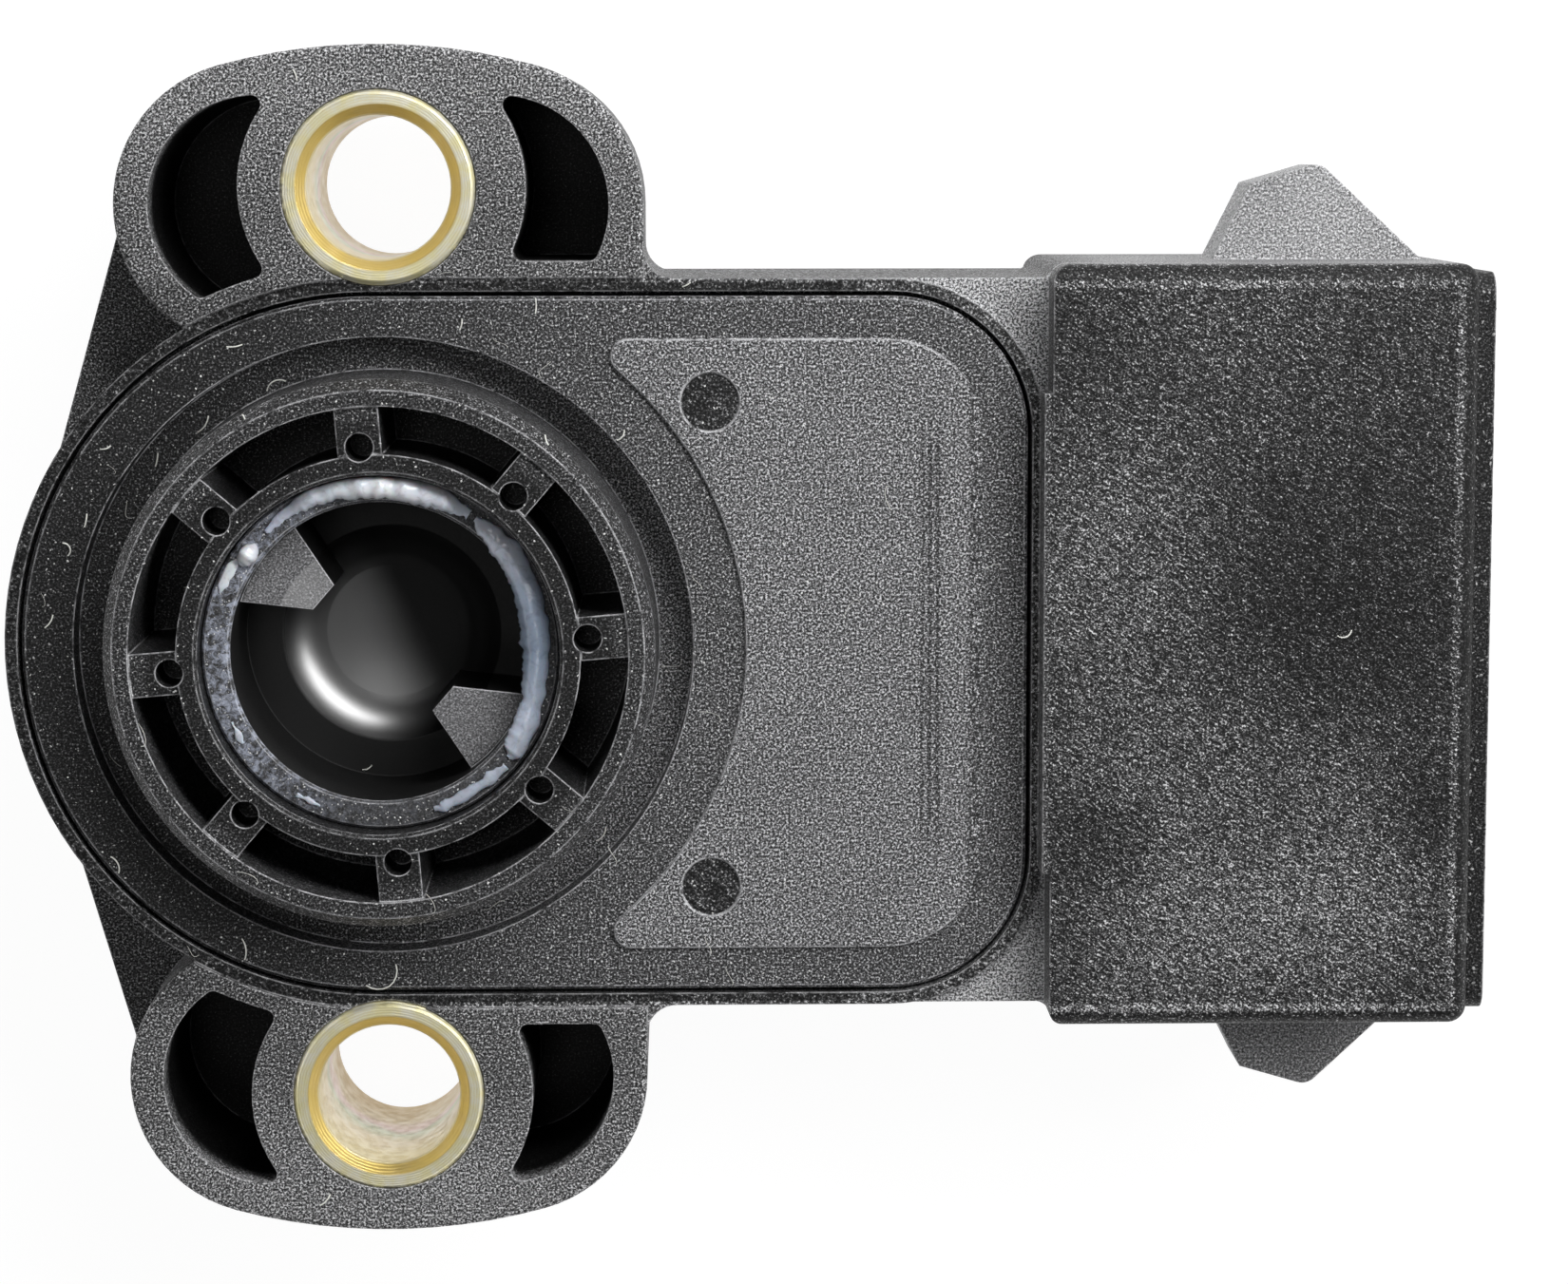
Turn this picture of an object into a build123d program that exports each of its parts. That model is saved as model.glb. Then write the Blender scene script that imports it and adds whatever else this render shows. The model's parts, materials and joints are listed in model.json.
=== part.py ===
from build123d import *
import os
from math import cos, degrees, radians, sin, sqrt, tan

# Throttle position sensor, in millimetres.
# The origin lies on the rotor's axis in the mounting plane, where the two bushings meet the throttle body.
# +Z points out of the mounting face, +X runs towards the connector, and the sensor rests on its back.

# Fixing bushings
bushing_overlap = 0.275
bushing_bore = 6.25
bushing_diameter = 8.45
bushing_length = 11.5
bushing_lead_in = 0.45
bushing_edge = 0.2
bushing_proud = 0.1
screw_head_margin = 0.775
insert_clearance = 0.02

# Drum and box of the housing
body_offset = -0.5
body_depth = 15.0
back_edge = 0.8
shoulder_drop = 0.8
rim_drop = 0.35
rim_width = 0.55

# Ears
ear_tip_wall = 1.925
ear_corner_radius = 6.25
ear_corner_x = 5.2
ear_root_radius = 1.3
ear_edge = 0.3
ear_step_gap = 0.05
web_drop = 5.4
web_inset = 0.1
pocket_wall = 1.5
pocket_ring_left = 1.85
pocket_ring_right = 2.15
pocket_sill = 0.78
pocket_tip_radius = 0.4
pocket_floor = 1.6

# Cover
cover_gap = 0.2
cover_land = 1.75
cover_reach = 14.65
cover_corner = 6.0
cover_drop = 0.3
cover_thickness = 3.0
cover_edge = 0.15
pad_height = 0.2
pad_side_margin = 1.88
pad_end_margin = 1.85
pad_inner_margin = 2.32
pad_corner = 4.4
pad_tip_radius = 0.75
pad_slope = 0.7
pad_slope_drop = 0.12
ejector_end_margin = 12.05
ejector_side_margin = 2.72
ejector_diameter = 2.6
ejector_depth = 0.12

# Pilot hub of the cover
hub_rise = 3.1
hub_bore_radius = 7.8
hub_lead_in = 0.15
hub_ring = 0.9
slot_width = 2.05
slot_depth = 9.0
slot_floor = 1.2
outer_ring = 0.7
outer_bevel = 0.45
outer_bevel_drop = 0.7
hub_draft = 0.15
trough_width = 1.5
trough_depth = 1.8
spoke_count = 8
spoke_angle = 4.6
spoke_width = 1.9
spoke_drop = 0.2
spoke_hole_offset = 0.32
spoke_hole_diameter = 1.2
spoke_hole_depth = 3.0

# Workings chamber
ledge_width = 1.5
floor_thickness = 1.8
seal_width = 0.8
seal_height = 0.6

# Connector shroud
connector_gap = 0.15
connector_length = 18.5
connector_overhang = 0.65
connector_rise = 1.8
connector_edge = 0.8
connector_root_radius = 0.8
connector_root_sink = 0.02
tongue_length = 0.35
tongue_inset = 5.55
tongue_offset = 0.65
lip_length = 0.85
lip_inset = 0.4
lip_drop = 1.2
socket_back_wall = 5.5
socket_side_wall = 2.2
socket_top_wall = 2.4
socket_bottom_wall = 2.0
socket_corner = 1.0

# Latch lugs on the shroud's sides, set back from its front
lug_front_setback = 1.4
lug_tip_setback = 6.0
lug_shoulder_setback = 9.1
lug_back_setback = 10.8
lug_shoulder_out = 3.4
lug_out = 4.3
lug_tip_radius = 0.8
lug_height = 4.0
lug_drop = 7.2

# Rotor
running_gap = 0.05
rotor_rise = 1.6
rotor_wall = 1.22
rotor_edge = 0.12
socket_floor_depth = 5.5
bowl_ledge = 1.63
bowl_curve = 1.9
bowl_depth = 1.15
bowl_dish = 0.2
flange_wall_gap = 1.6
flange_gap = 0.3
flange_thickness = 1.2
lower_hub_wall = 2.35
lower_hub_gap = 0.8
rotor_web = 1.35
post_radius = 2.5
post_edge = 0.4
post_end_gap = 0.15
dog_angle = 139.0
dog_length = 3.12
dog_face = 1.42
dog_flare = 34.5
dog_back_flare = 15.5
dog_rise = 0.1
dog_overlap = 0.17
rotor_travel = 95.0

# Stops for the rotor's travel
stop_angle = 115.0
stop_tab_reach = 0.9
stop_tab_width = 2.4
stop_gap = 0.4
stop_rib_width = 2.0
stop_rib_gap = 0.4

# Return spring
spring_hub_gap = 0.6
spring_wire = 0.6
spring_wire_sides = 8
spring_turns = 3.5
spring_leg = 1.2
spring_seat_gap = 0.03
spring_peg_diameter = 0.8
spring_peg_length = 1.0
spring_side_gap = 0.15
anchor_size = 0.7

# Track board and its printed tracks
board_thickness = 0.8
board_margin = 0.9
board_end_gap = 2.1
board_hole_gap = 1.1
print_thickness = 0.05
track_margin = 0.3
track_width = 1.6
track_gap = 0.7
resistor_half_gap = 50.0
conductor_width = 1.6
conductor_straight = 5.7
conductor_step = 3.0
conductor_margin = 0.8
stake_diameter = 1.6
stake_head = 2.6
stake_head_height = 0.5
stake_end_margin = 7.8
stake_side_margin = 1.8
stake_clearance = 0.05

# Wiper
wiper_angle = 180.0
wiper_thickness = 0.25
wiper_plate_length = 2.6
wiper_run = 3.0
wiper_arm_width = 1.2
wiper_tine_gap = 0.15
wiper_tip_gap = 0.1
wiper_tip_length = 0.6
wiper_bend = 0.4
wiper_stake_spacing = 1.8
wiper_stake_diameter = 0.9
wiper_stake_head = 1.5

# Terminals and contacts
terminal_pitch = 5.5
terminal_width = 2.8
terminal_thickness = 0.8
terminal_recess = 1.6
terminal_point = 0.25
terminal_bend = 1.0
terminal_board_inset = 0.4
terminal_foot = 3.4
contact_width = 1.4
contact_thickness = 0.25
contact_height = 1.5
contact_length = 2.2
contact_bend = 0.4

# Levels, measured up from the mounting plane
ear_top = -bushing_proud
ear_bottom = bushing_proud - bushing_length
rim_top = -rim_drop
shoulder_top = -shoulder_drop
web_top = -web_drop
cover_top = -cover_drop
ledge_top = cover_top - cover_thickness
floor_top = floor_thickness - body_depth
trough_floor = cover_top - trough_depth
slot_bottom = hub_rise - slot_depth
hub_bottom = slot_bottom - slot_floor
flange_top = hub_bottom - flange_gap
flange_bottom = flange_top - flange_thickness
lower_hub_bottom = floor_top + lower_hub_gap
board_top = floor_top + board_thickness
print_top = board_top + print_thickness
socket_top = connector_rise - socket_top_wall
socket_bottom = socket_bottom_wall - body_depth
terminal_z = (socket_top + socket_bottom) / 2
lug_top = connector_rise - lug_drop
socket_floor = -socket_floor_depth
bowl_bottom = socket_floor - bowl_depth
bowl_dish_top = bowl_bottom + bowl_dish
dog_top = dog_rise
post_bore_top = bowl_bottom - rotor_web
post_top = post_bore_top - post_end_gap
spring_bottom = floor_top + spring_wire / 2 + spring_seat_gap
spring_height = flange_bottom - floor_top - spring_wire - 2 * spring_seat_gap
foot_middle = print_top + contact_height + terminal_thickness / 2

# Plan sizes that follow from the ones above, from the rotor's bore outwards
hub_ring_radius = hub_bore_radius + hub_ring
slot_radius = hub_ring_radius + slot_width
outer_ring_radius = slot_radius + outer_ring
hub_bevel_radius = outer_ring_radius + outer_bevel
hub_base_radius = hub_bevel_radius + hub_draft
spoke_hole_radius = hub_ring_radius + spoke_hole_offset
trough_radius = hub_base_radius + trough_width
cover_half_width = trough_radius + cover_land
cover_end = trough_radius + cover_reach
pad_half_width = cover_half_width - pad_side_margin
pad_end = cover_end - pad_end_margin
pad_inner_radius = trough_radius + pad_inner_margin
ejector_x = pad_end - ejector_end_margin
ejector_y = pad_half_width - ejector_side_margin
pocket_half_width = cover_half_width + cover_gap
body_half_width = pocket_half_width + rim_width
bushing_radius = bushing_diameter / 2
bushing_y = body_half_width + bushing_radius - bushing_overlap
screw_head_radius = bushing_radius + screw_head_margin
pocket_end = cover_end + cover_gap
pocket_corner = cover_corner + cover_gap
rim_corner = pocket_corner + rim_width
chamber_half_width = pocket_half_width - ledge_width
chamber_end = pocket_end - ledge_width
chamber_corner = pocket_corner - ledge_width
ear_arc_radius = bushing_y + bushing_radius + ear_tip_wall
ear_corner_y = sqrt((ear_arc_radius - ear_corner_radius) ** 2 - ear_corner_x**2)
ear_side = ear_corner_x + ear_corner_radius
ear_foot = bushing_y / 2
sleeve_radius = hub_bore_radius - running_gap
rotor_bore_radius = sleeve_radius - rotor_wall
bowl_radius = rotor_bore_radius - bowl_ledge
bowl_floor_radius = bowl_radius - bowl_curve
dog_reach = rotor_bore_radius - dog_length
dog_root = rotor_bore_radius + dog_overlap
dog_root_front = dog_face / 2 + (dog_root - dog_reach) * tan(radians(dog_flare))
dog_root_back = dog_face / 2 + (dog_root - dog_reach) * tan(radians(dog_back_flare))
flange_radius = chamber_half_width - flange_wall_gap
lower_hub_radius = post_radius + running_gap + lower_hub_wall
seal_margin = (ledge_width + seal_width) / 2
seal_half_width = chamber_half_width + seal_margin
seal_end = chamber_end + seal_margin
seal_corner = chamber_corner + seal_margin
connector_start = pocket_end + rim_width + connector_gap
connector_front = connector_start + connector_length
connector_half_width = body_half_width + connector_overhang
root_reach = connector_root_radius + connector_edge
root_drop = root_reach - connector_overhang
root_x = connector_start + connector_edge - sqrt(root_reach**2 - root_drop**2)
root_height = connector_overhang - connector_edge + connector_edge * root_drop / root_reach
tongue_start = connector_start - tongue_length
tongue_half_width = body_half_width - tongue_inset
socket_start = connector_start + socket_back_wall
socket_half_width = connector_half_width - socket_side_wall
lug_front = connector_front - lug_front_setback
lug_tip = connector_front - lug_tip_setback
lug_shoulder = connector_front - lug_shoulder_setback
lug_back = connector_front - lug_back_setback
stop_rib_inner = flange_radius + stop_rib_gap
stop_rib_length = pocket_half_width - stop_rib_inner
stop_tab_length = flange_radius + stop_tab_reach - lower_hub_radius
stop_lead = degrees((stop_tab_width / 2 + stop_gap + stop_rib_width / 2) / stop_rib_inner)
spring_radius = lower_hub_radius + spring_hub_gap + spring_wire / 2
spring_outer = spring_radius + spring_wire / 2
spring_peg_radius = spring_outer + spring_side_gap + spring_peg_diameter / 2
spring_peg_side = spring_wire / 2 + spring_seat_gap + spring_peg_diameter / 2
spring_end_plane = Plane.XY.rotated((0, 0, 360 * spring_turns))
board_hole_radius = spring_outer + board_hole_gap
collector_inner = board_hole_radius + track_margin
collector_outer = collector_inner + track_width
resistor_inner = collector_outer + track_gap
resistor_outer = resistor_inner + track_width
board_half_width = resistor_outer + board_margin
board_end = chamber_end - board_end_gap
stake_x = board_end - stake_end_margin
stake_y = board_half_width - stake_side_margin
terminal_tip = connector_front - terminal_recess
terminal_drop_x = board_end - terminal_board_inset
collector_middle = (collector_inner + collector_outer) / 2
resistor_middle = (resistor_inner + resistor_outer) / 2
resistor_end_x = resistor_middle * cos(radians(resistor_half_gap))
resistor_end_y = resistor_middle * sin(radians(resistor_half_gap))
conductor_end = board_end - conductor_margin
wiper_plane = Plane.XY.rotated((0, 0, wiper_angle))
wiper_plate_x = (collector_middle + resistor_middle) / 2
wiper_plate_y = -wiper_run - wiper_plate_length / 2
wiper_stakes = [
    (wiper_plate_x - wiper_stake_spacing / 2, wiper_plate_y),
    (wiper_plate_x + wiper_stake_spacing / 2, wiper_plate_y),
]
contact_x = terminal_drop_x - terminal_foot / 2


def d_outline(half_width, end, corner):
    # Round on the left, straight sides, square on the right with rounded corners.
    with BuildSketch() as outline:
        with Locations((body_offset, 0)):
            Circle(half_width)
        with Locations(((body_offset + end) / 2, 0)):
            Rectangle(end - body_offset, 2 * half_width)
        fillet(outline.vertices().group_by(Axis.X)[-1], corner)
    return outline.sketch


def d_ring(half_width, end, corner, width):
    # A band of the given width inside a rounded-D outline.
    with BuildSketch() as band:
        add(d_outline(half_width, end, corner))
        add(d_outline(half_width - width, end - width, corner - width), mode=Mode.SUBTRACT)
    return band.sketch


def ear_outline():
    # Upper ear: an arc about the rotor's axis between two round corners, with its foot inside the body.
    corner_scale = ear_arc_radius / (ear_arc_radius - ear_corner_radius)
    arc_end = (ear_corner_x * corner_scale, ear_corner_y * corner_scale)
    with BuildSketch() as outline:
        with BuildLine():
            RadiusArc((-arc_end[0], arc_end[1]), arc_end, ear_arc_radius)
            RadiusArc(arc_end, (ear_side, ear_corner_y), ear_corner_radius)
            Polyline(
                (ear_side, ear_corner_y),
                (ear_side, ear_foot),
                (-ear_corner_x, ear_foot),
                (-arc_end[0], arc_end[1]),
            )
        make_face()
        with Locations((-ear_corner_x, ear_corner_y)):
            Circle(ear_corner_radius)
    return outline.sketch


def ear_root():
    # Fillet between the ear's right side and the side of the body.
    with BuildSketch() as root:
        with Locations((ear_side - rim_width, body_half_width - rim_width)):
            Rectangle(rim_width + ear_root_radius, rim_width + ear_root_radius, align=(Align.MIN, Align.MIN))
        with Locations((ear_side + ear_root_radius, body_half_width + ear_root_radius)):
            Circle(ear_root_radius, mode=Mode.SUBTRACT)
    return root.sketch


def connector_root():
    # Fillet between the side of the body and the rounded back corner of the connector's box.
    with BuildSketch() as root:
        with Locations((root_x, body_half_width - rim_width)):
            root_length = connector_start + connector_edge - root_x
            Rectangle(root_length, rim_width + root_height, align=(Align.MIN, Align.MIN))
        with Locations((root_x, body_half_width + connector_root_radius)):
            Circle(connector_root_radius + connector_root_sink, mode=Mode.SUBTRACT)
    return root.sketch


def ear_pocket(side, ring_wall):
    # Crescent between the ear's rounded corner and a wall round the bushing.
    sill_half_width = body_half_width + pocket_sill
    with BuildSketch() as pocket:
        with Locations((side * ear_corner_x, ear_corner_y)):
            Circle(ear_corner_radius - pocket_wall)
        with Locations((0, bushing_y)):
            Circle(bushing_radius + ring_wall, mode=Mode.SUBTRACT)
        add(d_outline(sill_half_width, connector_start, rim_width), mode=Mode.SUBTRACT)
        fillet(pocket.vertices(), pocket_tip_radius)
    return pocket.sketch


def arc_band(inner, outer, start, end):
    # Part of a flat ring between two angles in degrees.
    with BuildSketch() as band:
        with BuildLine():
            CenterArc((0, 0), outer, start, end - start)
            CenterArc((0, 0), inner, start, end - start)
            for angle in (radians(start), radians(end)):
                Line((inner * cos(angle), inner * sin(angle)), (outer * cos(angle), outer * sin(angle)))
        make_face()
    return band.sketch


def finish(piece, name):
    # Names a finished piece and writes it to its own file.
    piece.part.label = name
    export_step(piece.part, f"parts/{name}.step")


os.makedirs("parts", exist_ok=True)

# Outer box of the connector shroud, rounded all round but along the top and bottom of its back
with BuildPart() as shroud_box:
    with BuildSketch(Plane.YZ.offset(connector_start)):
        with Locations((0, (connector_rise - body_depth) / 2)):
            Rectangle(2 * connector_half_width, connector_rise + body_depth)
    extrude(amount=connector_length)
    square_edges = shroud_box.faces().sort_by(Axis.X)[0].edges().filter_by(Axis.Y)
    fillet(shroud_box.edges() - square_edges, connector_edge)

# Upper ear, rounded round its top edge
with BuildPart() as ear:
    with BuildSketch(Plane.XY.offset(ear_bottom)):
        add(ear_outline())
    extrude(amount=ear_top - ear_bottom)
    fillet(ear.faces().sort_by(Axis.Z)[-1].edges(), ear_edge)

# Housing: drum, ears, rim and connector shroud in one moulding
with BuildPart() as housing:
    with BuildSketch(Plane.XY.offset(-body_depth)):
        with Locations((body_offset, 0)):
            Circle(body_half_width)
        with Locations(((body_offset + connector_start) / 2, 0)):
            Rectangle(connector_start - body_offset, 2 * body_half_width)
    extrude(amount=body_depth - rim_drop)
    fillet(housing.edges().group_by(Axis.Z)[0].sort_by(Axis.X)[:-1], back_edge)

    # Shoulder outside the rim's rounded end, which leaves the rim standing round the cover
    with BuildSketch(Plane.XY.offset(rim_top)):
        with Locations((connector_start, 0)):
            Rectangle(2 * (rim_corner + connector_gap), 2 * connector_half_width)
        add(d_outline(body_half_width, pocket_end + rim_width, rim_corner), mode=Mode.SUBTRACT)
    extrude(amount=shoulder_top - rim_top, mode=Mode.SUBTRACT)

    # Lower web that ties the ears to the drum, the ears, and their step above the rim
    with BuildSketch(Plane.XY.offset(ear_bottom)):
        with Locations((body_offset, 0)):
            Circle(body_half_width - web_inset)
        with Locations((-ear_corner_x, ear_corner_y), (-ear_corner_x, -ear_corner_y)):
            Circle(ear_corner_radius - web_inset)
        make_hull()
    extrude(amount=web_top - ear_bottom)
    with BuildSketch(Plane.XY.offset(ear_bottom)):
        add(ear_root())
        mirror(about=Plane.XZ)
    extrude(amount=rim_top - ear_bottom)
    add(ear.part)
    mirror(ear.part, about=Plane.XZ)
    with BuildSketch(Plane.XY.offset(rim_top)):
        add(d_outline(body_half_width + ear_step_gap, connector_start, rim_width))
    extrude(amount=ear_top - rim_top, mode=Mode.SUBTRACT)

    # Connector shroud, its roots on the body, its tongue beside the rim, and the lip round its mouth
    add(shroud_box.part)
    with BuildSketch(Plane.XY.offset(2 * connector_edge - body_depth)):
        add(connector_root())
        mirror(about=Plane.XZ)
    extrude(amount=shoulder_top - 2 * connector_edge + body_depth)
    with BuildSketch(Plane.XY.offset(shoulder_top)):
        with Locations(((tongue_start + connector_start) / 2, tongue_offset)):
            Rectangle(connector_start - tongue_start, 2 * tongue_half_width)
    extrude(amount=connector_rise - shoulder_top)
    lip_top = connector_rise - lip_drop
    lip_bottom = lip_inset - body_depth
    with BuildSketch(Plane.YZ.offset(connector_front - connector_edge)):
        with Locations((0, (lip_top + lip_bottom) / 2)):
            RectangleRounded(2 * (connector_half_width - lip_inset), lip_top - lip_bottom, socket_corner)
    extrude(amount=connector_edge + lip_length)

    # Latch lugs: steep towards the body, a gentle ramp towards the mouth
    lug_root = connector_half_width - connector_edge
    with BuildSketch(Plane.XY.offset(lug_top - lug_height)) as lugs:
        with BuildLine():
            Polyline(
                (lug_back, lug_root),
                (lug_back, connector_half_width),
                (lug_shoulder, connector_half_width + lug_shoulder_out),
                (lug_tip, connector_half_width + lug_out),
                (lug_front, connector_half_width),
                (lug_front, lug_root),
                close=True,
            )
        make_face()
        fillet(lugs.vertices().sort_by(Axis.Y)[-1], lug_tip_radius)
        mirror(about=Plane.XZ)
    extrude(amount=lug_height)

    # Holes for the bushings, room for the screw heads, and the blind crescent pockets
    with BuildSketch(Plane.XY.offset(ear_top)):
        with Locations((0, bushing_y), (0, -bushing_y)):
            Circle(bushing_radius + insert_clearance)
    extrude(amount=ear_bottom - ear_top, mode=Mode.SUBTRACT)
    with BuildSketch(Plane.XY.offset(ear_bottom)):
        with Locations((0, bushing_y), (0, -bushing_y)):
            Circle(screw_head_radius)
    extrude(amount=-body_depth - ear_bottom, mode=Mode.SUBTRACT)
    with BuildSketch(Plane.XY.offset(ear_top)):
        add(ear_pocket(-1, pocket_ring_left))
        add(ear_pocket(1, pocket_ring_right))
        mirror(about=Plane.XZ)
    extrude(amount=ear_bottom + pocket_floor - ear_top, mode=Mode.SUBTRACT)

    # Recess for the cover, groove for its seal, and the workings chamber below
    with BuildSketch(Plane.XY.offset(rim_top)):
        add(d_outline(pocket_half_width, pocket_end, pocket_corner))
    extrude(amount=ledge_top - rim_top, mode=Mode.SUBTRACT)
    with BuildSketch(Plane.XY.offset(ledge_top)):
        add(d_ring(seal_half_width, seal_end, seal_corner, seal_width))
    extrude(amount=-seal_height, mode=Mode.SUBTRACT)
    with BuildSketch(Plane.XY.offset(ledge_top)):
        add(d_outline(chamber_half_width, chamber_end, chamber_corner))
    extrude(amount=floor_top - ledge_top, mode=Mode.SUBTRACT)

    # Mouth of the connector, and the slots that the terminals are moulded into
    with BuildSketch(Plane.YZ.offset(socket_start)):
        with Locations((0, (socket_top + socket_bottom) / 2)):
            RectangleRounded(2 * socket_half_width, socket_top - socket_bottom, socket_corner)
    extrude(amount=connector_front + lip_length - socket_start, mode=Mode.SUBTRACT)
    with BuildSketch(Plane.YZ.offset(chamber_end)):
        with Locations((0, terminal_z)):
            with GridLocations(terminal_pitch, 0, 3, 1):
                Rectangle(terminal_width, terminal_thickness)
    extrude(amount=socket_start - chamber_end, mode=Mode.SUBTRACT)

    # Centre post for the rotor
    with BuildSketch(Plane.XY.offset(floor_top)):
        Circle(post_radius)
    extrude(amount=post_top - floor_top)
    post_rim = housing.edges().filter_by(GeomType.CIRCLE).filter_by_position(Axis.Z, post_top, post_top)
    chamfer(post_rim, post_edge)

    # Stakes that hold the track board, with their formed heads
    with BuildSketch(Plane.XY.offset(floor_top)):
        with GridLocations(0, 2 * stake_y, 1, 2):
            with Locations((stake_x, 0)):
                Circle(stake_diameter / 2)
    extrude(amount=board_thickness)
    with BuildSketch(Plane.XY.offset(board_top)):
        with GridLocations(0, 2 * stake_y, 1, 2):
            with Locations((stake_x, 0)):
                Circle(stake_head / 2)
    extrude(amount=stake_head_height)

    # Two ribs on the chamber wall that end the rotor's travel
    with BuildSketch(Plane.XY.offset(floor_top)):
        for angle in (stop_angle - stop_lead, stop_angle + rotor_travel + stop_lead):
            with PolarLocations(stop_rib_inner, 1, start_angle=angle):
                Rectangle(stop_rib_length, stop_rib_width, align=(Align.MIN, Align.CENTER))
    extrude(amount=flange_top - floor_top)

    # Block that the lower leg of the return spring pushes on
    with BuildSketch(Plane.XY.offset(floor_top)):
        with Locations((spring_outer + spring_side_gap, spring_wire / 2 + spring_seat_gap)):
            Rectangle(anchor_size, anchor_size, align=(Align.MIN, Align.MIN))
    extrude(amount=board_thickness)
finish(housing, "housing")

# Compression bushings, one in each ear
for name, side in {"upper_bushing": 1, "lower_bushing": -1}.items():
    with BuildPart() as bushing:
        with BuildSketch(Plane.XY.offset(-bushing_length)):
            with Locations((0, side * bushing_y)):
                Circle(bushing_radius)
                Circle(bushing_bore / 2, mode=Mode.SUBTRACT)
        extrude(amount=bushing_length)
        chamfer(bushing.edges().filter_by(GeomType.CIRCLE).group_by(SortBy.RADIUS)[0], bushing_lead_in)
        chamfer(bushing.edges().filter_by(GeomType.CIRCLE).group_by(SortBy.RADIUS)[-1], bushing_edge)
    finish(bushing, name)

# Cover with its pilot hub
with BuildPart() as cover:
    with BuildSketch(Plane.XY.offset(ledge_top)):
        add(d_outline(cover_half_width, cover_end, cover_corner))
    extrude(amount=cover_thickness)
    chamfer(cover.edges().group_by(Axis.Z)[-1], cover_edge)

    # Ring trough round the hub, then the hub turned about the rotor's axis
    with BuildSketch(Plane.XY.offset(cover_top)):
        Circle(trough_radius)
    extrude(amount=-trough_depth, mode=Mode.SUBTRACT)
    with BuildSketch(Plane.XZ):
        with BuildLine():
            Polyline(
                (hub_bore_radius, hub_bottom),
                (hub_bore_radius, hub_rise - hub_lead_in),
                (hub_bore_radius + hub_lead_in, hub_rise),
                (outer_ring_radius, hub_rise),
                (hub_bevel_radius, hub_rise - outer_bevel_drop),
                (hub_base_radius, trough_floor),
                (hub_base_radius, hub_bottom),
                close=True,
            )
        make_face()
    revolve(axis=Axis.Z)
    with BuildSketch(Plane.XY.offset(hub_rise)):
        Circle(hub_bore_radius)
    extrude(amount=hub_bottom - hub_rise, mode=Mode.SUBTRACT)

    # Relief slots between the spokes, whose tops lie a little below the rings
    with BuildSketch(Plane.XY.offset(hub_rise)):
        Circle(slot_radius)
        Circle(hub_ring_radius, mode=Mode.SUBTRACT)
    extrude(amount=-spoke_drop, mode=Mode.SUBTRACT)
    with BuildSketch(Plane.XY.offset(hub_rise - spoke_drop)):
        Circle(slot_radius)
        Circle(hub_ring_radius, mode=Mode.SUBTRACT)
        with PolarLocations(0, spoke_count, start_angle=spoke_angle):
            Rectangle(2 * slot_radius, spoke_width, align=(Align.MIN, Align.CENTER), mode=Mode.SUBTRACT)
    extrude(amount=slot_bottom - hub_rise + spoke_drop, mode=Mode.SUBTRACT)
    with BuildSketch(Plane.XY.offset(hub_rise)):
        with PolarLocations(spoke_hole_radius, spoke_count, start_angle=spoke_angle):
            Circle(spoke_hole_diameter / 2)
    extrude(amount=-spoke_hole_depth, mode=Mode.SUBTRACT)

    # Raised pad with two ejector marks
    with BuildSketch(Plane.XY.offset(cover_top)) as pad:
        with Locations((pad_end / 2, 0)):
            Rectangle(pad_end, 2 * pad_half_width)
        fillet(pad.vertices().group_by(Axis.X)[-1], pad_corner)
        Circle(pad_inner_radius, mode=Mode.SUBTRACT)
        fillet(pad.vertices().group_by(Axis.X)[0], pad_tip_radius)
    extrude(amount=pad_height)
    with BuildSketch(Plane.XZ):
        with BuildLine():
            Polyline(
                (pad_end - pad_slope, cover_top + pad_height),
                (pad_end, cover_top + pad_height - pad_slope_drop),
                (pad_end, cover_top + pad_height),
                close=True,
            )
        make_face()
    extrude(amount=pad_half_width, both=True, mode=Mode.SUBTRACT)
    with BuildSketch(Plane.XY.offset(cover_top + pad_height)):
        with Locations((ejector_x, ejector_y), (ejector_x, -ejector_y)):
            Circle(ejector_diameter / 2)
    extrude(amount=-ejector_depth, mode=Mode.SUBTRACT)
finish(cover, "cover")

# Seal cord in the ledge under the cover
with BuildPart() as cover_seal:
    with BuildSketch(Plane.XY.offset(ledge_top)):
        add(d_ring(seal_half_width, seal_end, seal_corner, seal_width))
    extrude(amount=-seal_height)
finish(cover_seal, "cover_seal")

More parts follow.
